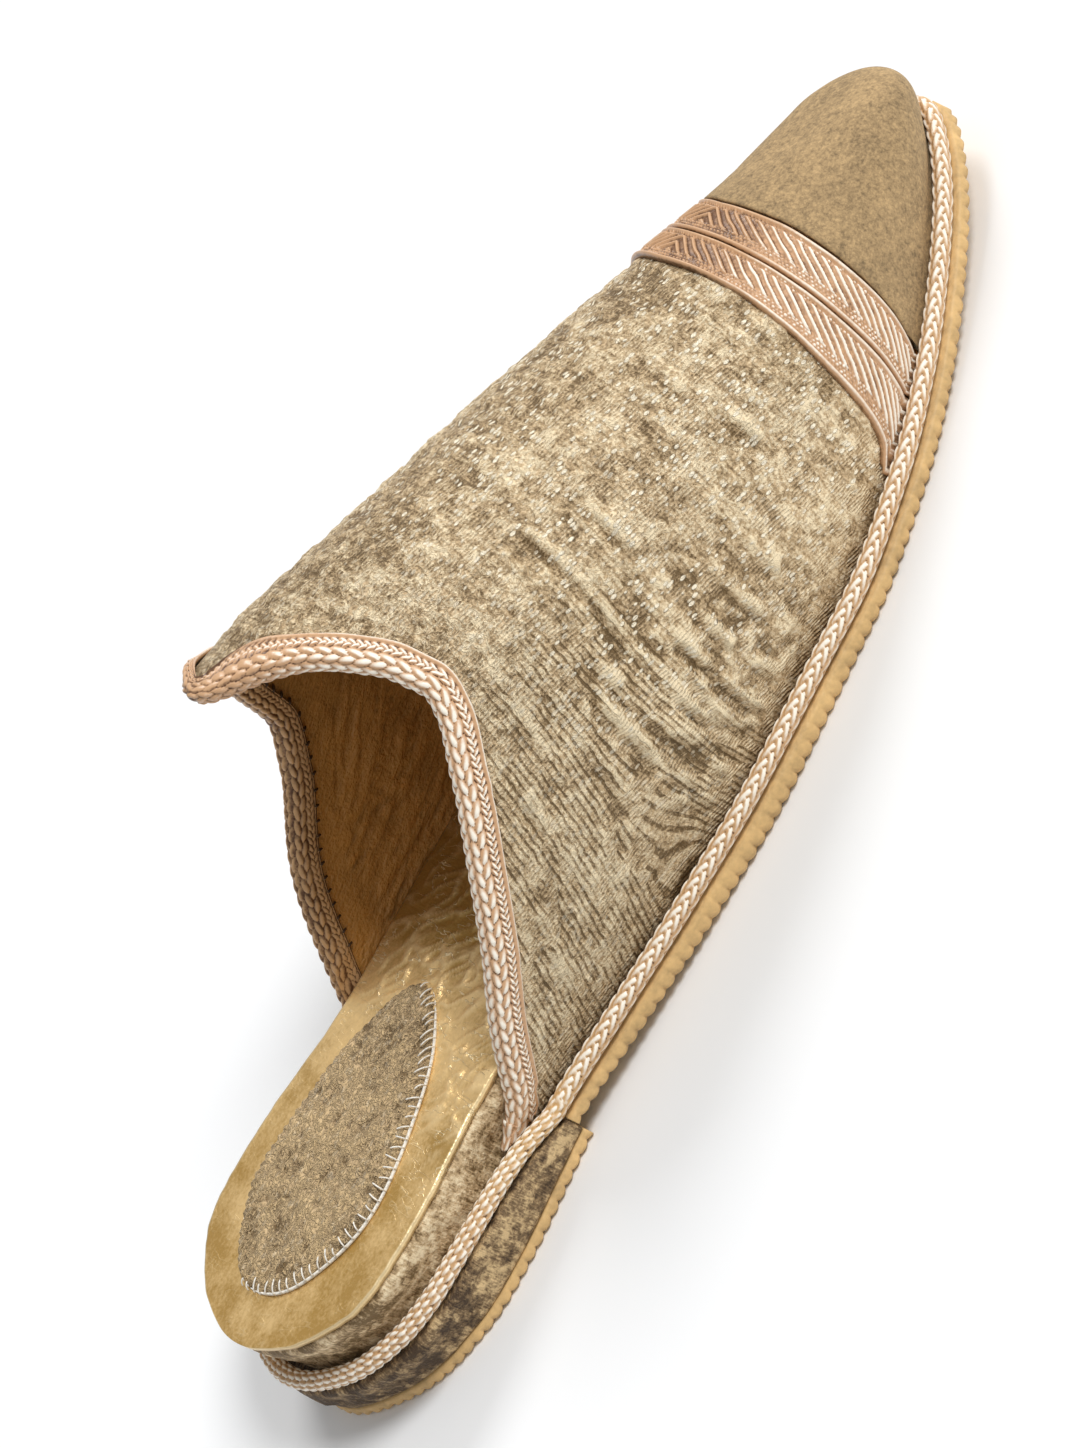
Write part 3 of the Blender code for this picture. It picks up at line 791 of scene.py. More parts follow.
def put(name, points, faces, finish, slot, *nodes, weave=None, **fields):
    """One closed mesh from points in millimetres, which rides on the shoe and may stand for CAD nodes.

    Points that coincide are joined. Weave is the place of each point in the cloth, and each field a
    value at each point, for the material to read.
    """
    mesh = bpy.data.meshes.new(name)
    corners = np.concatenate([group.ravel() for group in faces]).astype(np.int32)
    counts = np.concatenate([np.full(len(group), group.shape[1], np.int32) for group in faces])
    points = (points.reshape(-1, 3) - (MIDDLE, 0, 0)) * MM
    mesh.vertices.add(len(points))
    mesh.vertices.foreach_set("co", points.astype(np.float32).ravel())
    mesh.loops.add(len(corners))
    mesh.loops.foreach_set("vertex_index", corners)
    mesh.polygons.add(len(counts))
    mesh.polygons.foreach_set("loop_start", np.cumsum(counts, dtype=np.int32) - counts)
    if weave is not None:
        layer = mesh.uv_layers.new(name="weave")
        layer.data.foreach_set("uv", weave.reshape(-1, 2)[corners].astype(np.float32).ravel())
    for field, values in fields.items():
        layer = mesh.attributes.new(field, "FLOAT", "POINT")
        layer.data.foreach_set("value", values.astype(np.float32).ravel())
    mesh.update(calc_edges=True)
    form = bmesh.new()
    form.from_mesh(mesh)
    bmesh.ops.remove_doubles(form, verts=form.verts, dist=WELD)
    bmesh.ops.dissolve_degenerate(form, edges=form.edges, dist=WELD)
    bmesh.ops.recalc_face_normals(form, faces=form.faces)
    form.to_mesh(mesh)
    form.free()
    mesh.shade_smooth()
    mesh.materials.append(finish)
    made = bpy.data.objects.new(name, mesh)
    bpy.context.scene.collection.objects.link(made)
    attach(made, "root")
    if nodes:
        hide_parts(*nodes)
    return made


class Finish:
    """A material made of nodes. Each method adds a node and gives back the socket it comes out of."""

    def __init__(self, name, **sockets):
        self.material = bpy.data.materials.new(name)
        self.material.use_nodes = True
        self.tree = self.material.node_tree
        self.shader = self.tree.nodes["Principled BSDF"]
        self.connect(self.shader, {key.replace("_", " "): value for key, value in sockets.items()})

    def connect(self, node, sockets):
        for key, value in sockets.items():
            if isinstance(value, bpy.types.NodeSocket):
                self.tree.links.new(value, node.inputs[key])
            elif node.inputs[key].type == "RGBA":
                node.inputs[key].default_value = (*value, 1)
            else:
                node.inputs[key].default_value = value

    def add(self, kind, sockets, out=0, **settings):
        node = self.tree.nodes.new("ShaderNode" + kind)
        for key, value in settings.items():
            setattr(node, key, value)
        self.connect(node, sockets)
        return node.outputs[out]

    def place(self):
        """Place on the shoe, in metres."""
        return self.add("TexCoord", {}, "Object")

    def weave(self, axis=None):
        """Place in the cloth, in millimetres, or one axis of it."""
        where = self.add("UVMap", {}, uv_map="weave")
        return where if axis is None else self.add("SeparateXYZ", {0: where}, axis)

    def field(self, name):
        """Value that the mesh keeps at each point."""
        return self.add("Attribute", {}, "Fac", attribute_name=name)

    def scaled(self, where, *sizes):
        return self.add("VectorMath", {0: where, 1: sizes}, operation="MULTIPLY")

    def noise(self, where, scale, detail=2.0, rough=0.5, bent=0.0):
        sockets = {"Vector": where, "Scale": scale, "Detail": detail, "Roughness": rough, "Distortion": bent}
        return self.add("TexNoise", sockets)

    def cells(self, where, scale, out="Distance", random=1.0, distance="EUCLIDEAN"):
        sockets = {"Vector": where, "Scale": scale, "Randomness": random}
        return self.add("TexVoronoi", sockets, out, distance=distance)

    def lines(self, value, width):
        """1 along the lines where a noise passes its middle, 0 away from them."""
        return self.step(width, 0.0, self.math("ABSOLUTE", self.math("SUBTRACT", value, 0.5)))

    def waves(self, where, length):
        """Sine of a place, with waves of this length."""
        return self.math("SINE", self.math("MULTIPLY", where, 2 * math.pi / length))

    def math(self, operation, first, second=0.0):
        return self.add("Math", {0: first, 1: second}, operation=operation)

    def step(self, low, high, value):
        """0 at low, 1 at high, and a soft step between them."""
        sockets = {"Value": value, "From Min": low, "From Max": high}
        return self.add("MapRange", sockets, interpolation_type="SMOOTHSTEP")

    def product(self, first, *rest):
        for more in rest:
            first = self.math("MULTIPLY", first, more)
        return first

    def total(self, *parts):
        """Sum of sockets, each with its weight."""
        first, *rest = [self.math("MULTIPLY", socket, weight) for socket, weight in parts]
        for more in rest:
            first = self.math("ADD", first, more)
        return first

    def mix(self, share, first, second):
        return self.add("Mix", {0: share, 6: first, 7: second}, 2, data_type="RGBA")

    def ramp(self, value, *stops):
        """Colour between stops, each a place and a colour."""
        out = self.add("ValToRGB", {0: value})
        elements = out.node.color_ramp.elements
        for place, _ in stops[2:]:
            elements.new(place)
        for element, (place, shade) in zip(elements, stops):
            element.position = place
            element.color = (*shade, 1)
        return out

    def bump(self, height, strength, distance):
        return self.add("Bump", {"Height": height, "Strength": strength, "Distance": distance * MM})

    def done(self, **sockets):
        self.connect(self.shader, {key.replace("_", " "): value for key, value in sockets.items()})
        return self.material


def tints(shade, *shares):
    """A colour made darker or lighter by each share."""
    return [[min(share * part, 1) for part in shade] for share in shares]


def velvet_finish(name, dark, mid, light, fleck, spacing):
    """Brushed velvet: woven blocks of ribs and cross ribs, curls, patches of nap and pale woven dashes,
    with painted shade in the hollows of its relief and painted light on its rises.
    """
    made = Finish(name, Roughness=0.6, Sheen_Weight=0.05, Sheen_Roughness=0.4, Sheen_Tint=(0.9, 0.7, 0.4))
    place, weave = made.place(), made.weave()
    sway = made.noise(made.scaled(weave, 0.3, 0.3, 1), 1, 2)
    block = made.cells(made.scaled(weave, 0.36, 0.2, 1), 1, "Color", 0.8, "CHEBYCHEV")
    pick, shade = (made.add("SeparateXYZ", {0: block}, axis) for axis in "XY")
    ribs = made.waves(made.math("ADD", made.weave("X"), sway), spacing)
    ribs = made.product(made.step(-0.2, -0.9, ribs), made.field("rib"), made.step(1.0, 0.5, pick))
    picks = made.waves(made.math("ADD", made.weave("Y"), made.product(sway, 0.8)), 0.72)
    picks = made.product(picks, made.step(0.25, 0.75, pick))
    curl = made.product(made.lines(made.noise(place, 620, 2, 0.6, 1.4), 0.1), made.field("lump"))
    cell = made.scaled(weave, 0.6, 1.05, 1)
    dash = made.step(0.46, 0.34, made.cells(cell, 1, random=0.7))
    chosen = made.step(0.36, 0.56, made.cells(cell, 1, "Color", 0.7))
    sown = made.step(0.36, 0.52, made.noise(place, 170, 3, 0.6))
    flecks = made.product(dash, chosen, sown, made.field("fleck"))
    patch, fine = made.noise(place, 90, 4, 0.62), made.noise(place, 420, 3, 0.65)
    pile = made.noise(place, 1500, 2, 0.65)
    # The nap field adds painted light and shade: darker in the hollows of the relief, paler on its rises.
    tone = made.total(
        (patch, 0.4), (fine, 0.9), (pile, 1.2), (ribs, -0.32), (picks, 0.09), (shade, 0.24), (curl, 0.26),
        (made.field("nap"), 0.42),
    )
    base = made.ramp(made.math("SUBTRACT", tone, 0.9), (0.15, dark), (0.5, mid), (0.84, light))
    height = made.total(
        (pile, 0.5), (fine, 0.8), (flecks, 0.6), (ribs, -0.6), (picks, 0.25), (curl, 0.7), (shade, 0.8)
    )
    return made.done(Base_Color=made.mix(flecks, base, fleck), Normal=made.bump(height, 0.9, 0.45))


def tier_finish(name, dark, mid, light):
    """Short crushed velvet of heel and footbed: upright strokes, dark hollows and worn pale patches."""
    made = Finish(name, Roughness=0.7, Sheen_Weight=0.03, Sheen_Tint=(0.9, 0.7, 0.4))
    place, weave = made.place(), made.weave()
    patch, fine = made.noise(place, 240, 3, 0.6), made.noise(place, 600, 3, 0.65)
    hair = made.noise(made.scaled(weave, 2.2, 0.4, 1), 1, 3, 0.6, 0.4)
    pile = made.noise(place, 1600, 2, 0.65)
    tone = made.total((patch, 1.7), (fine, 1.6), (hair, 1.1), (pile, 0.9), (made.field("worn"), 0.16))
    base = made.ramp(made.math("SUBTRACT", tone, 2.17), (0.1, dark), (0.5, mid), (0.95, light))
    height = made.total((pile, 0.45), (hair, 0.8), (fine, 1.4), (patch, 1.2))
    return made.done(Base_Color=base, Normal=made.bump(height, 0.8, 0.5))


def suede_finish(name, shade):
    """Suede: a short nap with faint clouds."""
    made = Finish(name, Roughness=0.85, Sheen_Weight=0.1, Sheen_Roughness=0.5, Sheen_Tint=(0.9, 0.75, 0.5))
    place = made.place()
    cloud, blot = made.noise(place, 110, 4, 0.6), made.noise(place, 700, 3, 0.6)
    nap = made.noise(place, 1700, 3, 0.7)
    tone = made.math("SUBTRACT", made.total((cloud, 0.3), (blot, 0.5), (nap, 0.7)), 0.25)
    low, high = tints(shade, 0.5, 1.5)
    base = made.ramp(tone, (0.3, low), (0.5, shade), (0.7, high))
    return made.done(Base_Color=base, Normal=made.bump(made.total((nap, 0.7), (blot, 0.7)), 0.6, 0.3))


def braid_finish(name, look):
    """Satin strands: painted shade in the gaps, painted highlights on the crests, fine threads, and a golden
    share.
    """
    made = Finish(name, Roughness=0.36)
    place = made.place()
    fibre, cloud = made.noise(place, 1300, 2, 0.6), made.noise(place, 160, 3, 0.6)
    tone = made.total((made.field("tone"), 1.0), (fibre, 0.3), (cloud, 0.25))
    tone = made.math("SUBTRACT", tone, 0.275)
    tinted = made.mix(made.product(made.field("gold"), 0.6), look.braid, look.braid_gold)
    # Tone runs from painted shade in the gaps to a painted highlight on the crests.
    shade = made.mix(made.step(0.0, 0.26, tone), look.braid_shadow, tinted)
    shade = made.mix(made.step(0.36, 0.86, tone), shade, look.braid_painted_highlight)
    return made.done(Base_Color=shade, Normal=made.bump(fibre, 0.3, 0.2))


def rubber_finish(name, shade):
    """Crepe rubber: cloudy, amber, with a crumbly grain."""
    made = Finish(name, Roughness=0.55)
    place = made.place()
    cloud, crumb = made.noise(place, 150, 4, 0.6), made.cells(place, 900)
    grain = made.noise(place, 700, 3, 0.6)
    low, high = tints(shade, 0.62, 1.3)
    base = made.ramp(made.total((cloud, 0.7), (grain, 0.4)), (0.3, low), (0.55, shade), (0.8, high))
    return made.done(Base_Color=base, Normal=made.bump(made.total((crumb, 0.6), (grain, 0.6)), 0.5, 0.3))


def leather_finish(name, shade, light):
    """Gold leather: smooth and softly shining, with fine crinkles where it was bent, whose pale lines are
    painted highlights.
    """
    made = Finish(name, Roughness=0.34, Metallic=0.5)
    place, crinkle = made.place(), made.field("crinkle")
    bent = made.noise(made.scaled(place, 1, 0.3, 1), 440, 2, 0.55, 0.25)
    some = made.step(0.42, 0.6, made.noise(place, 230, 2))
    # Crinkle lines, painted pale as highlights.
    shown = made.product(made.lines(bent, 0.022), some, crinkle)
    cloud, grain = made.noise(place, 90, 4, 0.6), made.noise(place, 1300, 2, 0.6)
    # The glow field is painted light and shade; deep is the colour of the painted shade.
    tone = made.total((cloud, 0.7), (grain, 0.3), (made.field("glow"), 0.15))
    deep = [part * share for part, share in zip(shade, (0.6, 0.52, 0.3))]
    base = made.ramp(tone, (0.35, deep), (0.55, shade), (0.75, *tints(shade, 1.2)))
    # Pale colour mixed in along the sheet's trimmed edge and as painted highlights on crinkles and wrinkle
    # crests.
    edges = made.math("MAXIMUM", shown, made.field("cut"))
    height = made.total((shown, 0.3), (made.product(bent, crinkle), 0.7), (grain, 0.2))
    return made.done(Base_Color=made.mix(edges, base, light), Normal=made.bump(height, 0.8, 0.5))


def lining_finish(name, shade):
    """Lining leather: brown, painted paler on its folds' crests and darker between them as painted light and
    shade, and paler towards the footbed, with a fine grain and small creases along the shoe.
    """
    made = Finish(name, Roughness=0.45)
    place = made.place()
    cloud, grain = made.noise(place, 60, 4, 0.6), made.cells(place, 1400)
    crease = made.noise(made.scaled(place, 0.45, 1, 1), 800, 3, 0.6)
    low, high = tints(shade, 0.5, 1.3)
    tone = made.total((cloud, 0.5), (made.field("fold"), 0.17))
    base = made.ramp(tone, (0.08, low), (0.25, shade), (0.42, high))
    return made.done(Base_Color=base, Normal=made.bump(made.total((grain, 0.15), (crease, 1)), 0.9, 0.8))


def thread_finish(name, shade):
    """Twisted thread: darker between its fibres."""
    made = Finish(name, Roughness=0.55)
    fibre = made.noise(made.place(), 2200, 2, 0.6)
    base = made.ramp(fibre, (0.3, *tints(shade, 0.6)), (0.6, shade))
    return made.done(Base_Color=base, Normal=made.bump(fibre, 0.4, 0.15))


def lobes(back, front):
    """(turns, notch) round the rubber's edge: notch is 0 in the middle of a lobe and 1 between two lobes."""
    turns = np.linspace(turn_at(back), turn_at(front), 4000)
    way = travelled(np.stack(edge(turns), -1))
    stops = np.linspace(0, way[-1], LOBE_STEPS * round(way[-1] / SCALLOP_PITCH) + 1)
    notch = 1 - np.abs(np.cos(np.pi * np.arange(len(stops)) / LOBE_STEPS)) ** 0.7
    return np.interp(stops, way, turns), notch


def layer(turns, inset, height, back=0.0, front=SOLE_LENGTH):
    """Closed sections of a layer of the sole, from insets and heights up its right side, then mirrored."""
    inset, height = np.broadcast_arrays(inset, height)
    station, width = edge(np.broadcast_to(turns[:, None], inset.shape), inset)
    right = np.stack([np.clip(station, back, front), -np.maximum(width, 0), height], -1)
    return np.concatenate([right, right[:, ::-1] * (1, -1, 1)], 1)


def make_sole(name, node, finish, back, front, taper, bottom, top):
    """Rubber sole between two stations: a flat tread, lobes along its lower edge, and a rounded side.

    Taper, bottom and top give its inset, its underside and its upper face at a station.
    """
    turns, notch = lobes(back, front)
    notch = notch[:, None]
    station, width = (value[:, None] for value in edge(turns))
    share, inset, lift, tuck = (column(RUBBER_SIDE, index) for index in range(4))
    rise = np.concatenate([np.zeros_like(notch), share + lift * notch], 1)
    inset = np.concatenate([np.minimum(SCALLOP_REACH, width), np.minimum(inset + tuck * notch, width)], 1)
    height = bottom(station) + rise * (top(station) - bottom(station))
    rings = layer(turns, taper(station) + inset, height, back, front)
    put(name, rings, tube(rings), finish, "crepe_rubber", node)


def make_rubber(look):
    """Outsole and top piece."""
    finish = rubber_finish("crepe_rubber", look.rubber)
    make_sole(
        "crepe_outsole", "outsole", finish, HEEL_BREAST + GAP, SOLE_LENGTH,
        lambda station: 0 * station, rubber_bottom, seat,
    )
    make_sole(
        "crepe_top_piece", "heel_top_piece", finish, 0.0, HEEL_BREAST,
        lambda station: smooth(HEEL_TAPER, 1, station), lambda station: 0 * station,
        lambda station: 0 * station + TOP_PIECE,
    )


def make_tier(name, node, finish, turns, heights, insets, side, swell, pale, front=SOLE_LENGTH):
    """Velvet layer between two heights. Its side goes from one inset to the other by a table.

    Lumps swell the side, and it is paler towards the front and worn pale towards the foot.
    """
    up = np.linspace(0, 1, 19)
    way = travelled(np.stack(edge(turns), -1))[:, None]
    (foot, top), (low, high) = ([value[:, None] for value in pair] for pair in (heights, insets))
    height = foot + up * (top - foot)
    inset = low + smooth(side, 1, up) * (high - low) + smooth(side, 2, up)
    inset = inset - swell * lumps(TIER_LUMPS, way, height) * np.sin(np.pi * up)
    rings = layer(turns, inset, height, 0.0, front)
    worn = 2 * ease(10, 64, way) - 1.5 + lumps(TIER_WEAR, way, height) + pale * ease(0.3, 0.05, up)
    worn = np.concatenate([worn, worn[:, ::-1]], 1)
    weave = np.stack(np.broadcast_arrays(way, height), -1)
    weave = np.concatenate([weave, weave[:, ::-1] * (-1, 1)], 1)
    put(name, rings, tube(rings), finish, "heel_velvet", node, weave=weave, worn=worn)


def make_tiers(look):
    """Velvet covers of the heel and the footbed."""
    turns = turns_between((0.0, HEEL_BREAST), (239,))
    station = edge(turns)[0]
    finish = tier_finish("heel_velvet", look.tier_dark, look.tier, look.tier_light)
    heights = np.full(station.shape, TOP_PIECE + GAP), seat(station)
    insets = smooth(HEEL_TAPER, 1, station), np.zeros(station.shape)
    make_tier("heel_cover", "heel_lift", finish, turns, heights, insets, HEEL_SIDE, 0.5, 0.7, HEEL_BREAST)

    turns = turns_between((0.0, 75.0, SOLE_LENGTH), (239, 49))
    station = edge(turns, FEATHER_INSET)[0]
    finish = tier_finish("footbed_velvet", look.velvet_dark, look.velvet, look.velvet_light)
    heights = seat(station) + GAP, footbed_top(station)
    insets = smooth(FOOTBED_INSET, 1, station), smooth(FOOTBED_INSET, 2, station)
    make_tier("footbed_cover", "footbed", finish, turns, heights, insets, FOOTBED_SIDE, 0.35, 0.0)


def make_insole(look):
    """Gold leather sheet with a slightly wavy trimmed edge, wrinkled where the foot bends it.

    A wrinkle is a ridge along the line where a slanting noise passes zero. Wrinkles are tallest between
    the collar's wings, with painted highlights on their crests and painted shade between them. A painted
    shadow darkens the leather forward under the upper, and it is darker at the back and along the near side.
    """
    turns = turns_between((0.0, 52.0, 122.0, SOLE_LENGTH), (99, 149, 31))
    station = edge(turns, FEATHER_INSET)[0]
    wave = 0.4 * noise(station / 5, 0, 8) + 0.15 * noise(station / 1.7, 3, 8)
    inset = smooth(FOOTBED_INSET, 2, station) + 0.1 + wave * ease(70, 50, station)
    at, width = (value[:, None] for value in edge(turns, inset))
    width = np.maximum(width, 0)
    across = np.linspace(-1, 1, 101)
    across = 0.8 * across + 0.2 * np.sin(np.pi / 2 * across)
    y = across * width

    bent = 0.16 + 0.8 * ease(34, 60, at) * ease(0.3, 0.8, -across) + 0.84 * ease(58, 78, at)
    drift = 0.6 * noise(at / 6, y / 6, 15)
    wrinkle = np.maximum(1 - 2.6 * np.abs(noise((at + y) / 2.7 + drift, (at - y) / 8 - drift, 9)), 0)
    rise = 0.55 * wrinkle * np.clip(bent - 0.2, 0, 1) + 0.12 * noise(at / 14, y / 11, 10)
    top = insole_top(station)[:, None]
    sheet = np.stack(np.broadcast_arrays(at, y, top + rise * (1 - across**8)), -1)
    foot = np.stack(np.broadcast_arrays(at, y[:, [0, -1]], top - INSOLE), -1)
    rings = np.concatenate([foot[:, :1], sheet, foot[:, 1:]], 1)

    shown = ease(0.3, 0.9, bent)
    # Paler along the sheet's trimmed edge, and painted highlights on the wrinkles' crests.
    cut = 0.8 * ease(0.45, 0.1, width - np.abs(y)) * ease(75, 60, at)
    cut = np.maximum(cut, 0.3 * wrinkle**2 * shown)
    # Painted light and shade: paler from station 50, a painted shadow forward under the upper, darker at the
    # back and along the near side, and painted shade in the wrinkles' valleys with paler crests.
    glow = ease(50, 66, at) - 2 * ease(70, 100, at) - 0.4 * ease(30, 12, at)
    glow = glow - 0.4 * ease(0.0, 0.7, -across) * ease(60, 44, at) + 1.1 * shown * (wrinkle - 0.5)
    cut, bent, glow = (np.pad(values, ((0, 0), (1, 1)), "edge") for values in (cut, bent, glow))
    cut[:, [0, -1]] *= 0.1
    finish = leather_finish("gold_leather", look.leather, look.leather_edge_and_highlight)
    put(
        "insole_leather", rings, tube(rings), finish, "gold_leather", "insole",
        cut=cut, crinkle=np.clip(bent, 0, 1), glow=glow,
    )


def pad_loop(count):
    """Evenly spaced points round the pad: the table's points, rounded off by keeping their first waves."""
    table = np.array(PAD_OUTLINE + PAD_OUTLINE[:1])
    way = travelled(table)
    at = np.linspace(0, way[-1], 1024, endpoint=False)
    waves = np.fft.fft(np.interp(at, way, table[:, 0]) + 1j * np.interp(at, way, table[:, 1]))
    waves[np.abs(np.fft.fftfreq(1024, 1 / 1024)) > 8] = 0
    loop = np.fft.ifft(waves)
    loop = np.stack([loop.real, loop.imag], -1)
    closed = np.concatenate([loop, loop[:1]])
    way = travelled(closed)
    at = np.linspace(0, way[-1], count, endpoint=False)
    return np.stack([np.interp(at, way, closed[:, index]) for index in (0, 1)], -1)


def make_heel_pad(look):
    """Velvet cushion, gathered round its edge by whip stitches.

    The crown falls from the middle to the outline by a root curve, with lumps and curls of nap on it,
    and each stitch draws the edge in. Its velvet is painted darker in their hollows and paler on their tops.
    """
    rise = look.pad_rise / MM
    outline = pad_loop(STITCH_STEPS * round(PAD_ROUND * MM / look.stitch_spacing))
    centre = outline.mean(0)
    spoke = outline - centre
    outward = spoke / np.linalg.norm(spoke, axis=-1, keepdims=True)
    gather = np.cos(2 * np.pi * np.arange(len(outline)) / STITCH_STEPS)

    reach = (np.linspace(0, 1, 44) ** 0.8)[:, None]
    flat = centre + spoke * reach[..., None] - 0.25 * (outward * gather[:, None]) * reach[..., None] ** 6
    x, y = flat[..., 0], flat[..., 1]
    drift = 0.7 * noise(x / 4, y / 4, 16)
    curl = 0.5 - 1.6 * np.abs(noise(x / 2.3 + drift, y / 2.3 - drift, 12))
    soft = lumps(PAD_LUMPS, x, y) + 0.42 * curl
    crown = np.sqrt(np.maximum(1 - reach**7, 0))
    foot = insole_top(x)
    top = foot + 0.15 + crown * (rise + soft - 0.2 * gather * ease(0.7, 0.94, reach))
    grid = np.concatenate([flat, top[..., None]], -1)
    rest = np.concatenate([flat[-1], foot[-1][:, None]], -1)[None]
    under = np.broadcast_to(np.array([*centre, insole_top(centre[0])]), rest.shape)
    points = np.concatenate([grid, rest, under])
    finish = velvet_finish(
        "pad_velvet", look.velvet_dark, look.pad, look.tier_light, look.fleck, look.rib_spacing / MM
    )
    even = np.ones(points.shape[:2])
    pad = put(
        "heel_cushion", points, [quads(*even.shape, False, True)], finish, "pad_velvet", "heel_pad",
        # Nap here is painted shade in the hollows of the lumps and curls and painted light on their tops.
        weave=0.9 * points[..., :2], nap=np.pad(2 * soft, ((0, 2), (0, 0))),
        rib=0 * even, fleck=0.2 * even, lump=2.2 * even,
    )
    make_pad_edge(outline, centre, outward, rise, look.thread)


def make_pad_edge(outline, centre, outward, rise, shade):
    """Whip stitches over the pad's near edge, each arched by a root curve, and a round cord all round it."""
    near = outline[::STITCH_STEPS, 1] < centre[1] + 3
    begin, away = (values[::STITCH_STEPS][near] for values in (outline, outward))
    tangent = np.stack([-away[:, 1], away[:, 0]], -1)
    part = np.linspace(0, 1, 8)[:, None]
    dice = np.random.default_rng(14)
    reach = dice.uniform(1.2, 3.4, len(begin))[:, None, None]
    lean = dice.uniform(-0.6, 0.9, len(begin))[:, None, None]
    path = begin[:, None] + away[:, None] * (0.7 - reach * (1 - part))
    path = path + lean * tangent[:, None] * (part - 0.5)
    arch = np.sqrt(np.maximum(1 - part[:, 0] ** 2.4, 0))
    lift = insole_top(path[..., 0]) + 0.1 + rise * arch
    points, faces = threads(np.concatenate([path, lift[..., None]], -1), 0.16)
    put("pad_stitches", points, faces, thread_finish("pad_thread", shade), "pad_velvet")

    turn = np.linspace(0, 2 * np.pi, 8, endpoint=False)
    thick = 0.1 + 0.24 * ease(2, -8, outline[:, 1] - centre[1])[:, None]
    flat = (outline + 0.1 * outward)[:, None] + (thick * np.cos(turn))[..., None] * outward[:, None]
    lift = insole_top(outline[:, :1]) + 0.75 * thick + thick * np.sin(turn)
    rings = np.concatenate([flat, lift[..., None]], -1)
    put("pad_cord", rings, tube(rings, True), thread_finish("pad_cord", shade), "pad_velvet")


def around(along, level):
    """Distance over the upper from its ridge down to a level."""
    part = np.linspace(0, 1, 33).reshape(-1, *[1] * np.ndim(along))
    return travelled(last(np.broadcast_to(along, (33, *np.shape(along))), level + (1 - level) * part))[-1]


def vamp_half(side, depth):
    """(along, level, place, way, relief) over one side of the vamp, with creases, pleats, blocks and lumps.

    Place runs along the fold line and way round from the ridge over the side. Each crease is a trough
    with a soft ridge beside it; pleats are noise drawn out along the creases, and blocks are noise with
    steep steps. The relief fades out towards the collar, the ribbons and the sole.
    """
    levels = np.concatenate([[SKIRT], np.linspace(0, 1, 176)])
    start = rim(levels, side)
    end = along_over(smooth(BANDS, 2, np.maximum(levels, 0)), np.maximum(levels, 0))
    along = start + (end - start) * np.linspace(0, 1, 225)[:, None]
    level = np.broadcast_to(levels, along.shape)
    base = last(along, level)
    fold = math.atan(RIDGE_SLOPE)
    way = around(along, level)
    place = base[..., 0] * math.cos(fold) - base[..., 2] * math.sin(fold)
    place = place - 0.0045 * ease(92, 108, place) * np.maximum(way - 50, 0) ** 2

    relief = np.zeros(place.shape)
    for first, final, top, low, wide, deep in CREASES:
        line = first + (final - first) * (way - top) / (low - top) + 0.5 * noise(way / 7, 0, 20)
        shown = ease(top, top + 5, way) * ease(low, low - 5, way) * (0.75 + 0.4 * noise(way / 3.5, first, 28))
        off = (place - line) / wide
        relief += deep * shown * (0.9 * np.exp(-((1.4 * off - 1.6) ** 2)) - np.exp(-((2 * off) ** 2)))
    low_side = ease(40, 58, way) * ease(92, 104, place) * ease(150, 134, place)
    sway = 0.4 * noise(place / 7, way / 7, 26)
    pleats = 0.5 * noise(place / 2.5 + sway, way / 10, 21, 0.5)
    blocks = 0.5 * noise(place / 2.7 + sway, way / 4.2 + sway, 22, 0.25)
    tufts = 0.24 * noise(place / 1.7 + sway, way / 2.6 - sway, 24, 0.45)
    relief = depth * relief + low_side * pleats + (0.35 + 0.65 * low_side) * blocks + tufts
    relief += lumps(VAMP_LUMPS, place, way)
    from_rim = (along - start) / np.maximum(end - start, 1e-6)
    over_sole = ease(0.0, 0.03, level)
    relief *= ease(0.04, 0.08, from_rim) * ease(1.0, 0.94, from_rim) * over_sole
    relief -= 0.12 * ease(0.06, 0.04, from_rim) * over_sole
    return along, level, place, way, np.clip(relief, -0.75, 1.1)


def make_vamp(look):
    """Velvet vamp over both sides of the upper, up to the collar and the ribbons."""
    halves = [vamp_half(side, look.crease_depth / MM) for side in (-1, 1)]
    sides = list(zip((-1, 1), halves))
    front = both(*[upper(along, level, side, relief) for side, (along, level, _, _, relief) in sides])
    back = both(*[upper(along, level, side, VAMP_BACK) for side, (along, level, *_) in sides])
    place, way, relief = (both(*values) for values in list(zip(*halves))[2:])
    fields = {
        # Nap is painted light and shade: the relief, darker in its hollows and paler on its rises, also
        # painted darker near the ridge and paler down the sides.
        "nap": relief - 0.3 * ease(16, 4, way) + 0.16 * ease(26, 56, way),
        "rib": 0.3 + 0.9 * ease(36, 50, way) * ease(126, 106, place),
        "fleck": 0.35 + 0.85 * ease(88, 112, place) * ease(84, 56, way),
        "lump": 0.7 + 0.5 * ease(112, 84, place) - 0.4 * ease(40, 60, way),
    }
    finish = velvet_finish(
        "vamp_velvet", look.velvet_dark, look.velvet, look.velvet_light, look.fleck, look.rib_spacing / MM
    )
    weave = np.stack([spread(place), spread(both(-halves[0][3], halves[1][3]))], -1)
    points, faces = skin(front, back)
    put(
        "vamp", points, faces, finish, "vamp_velvet", "upper", weave=weave,
        **{name: spread(values) for name, values in fields.items()},
    )


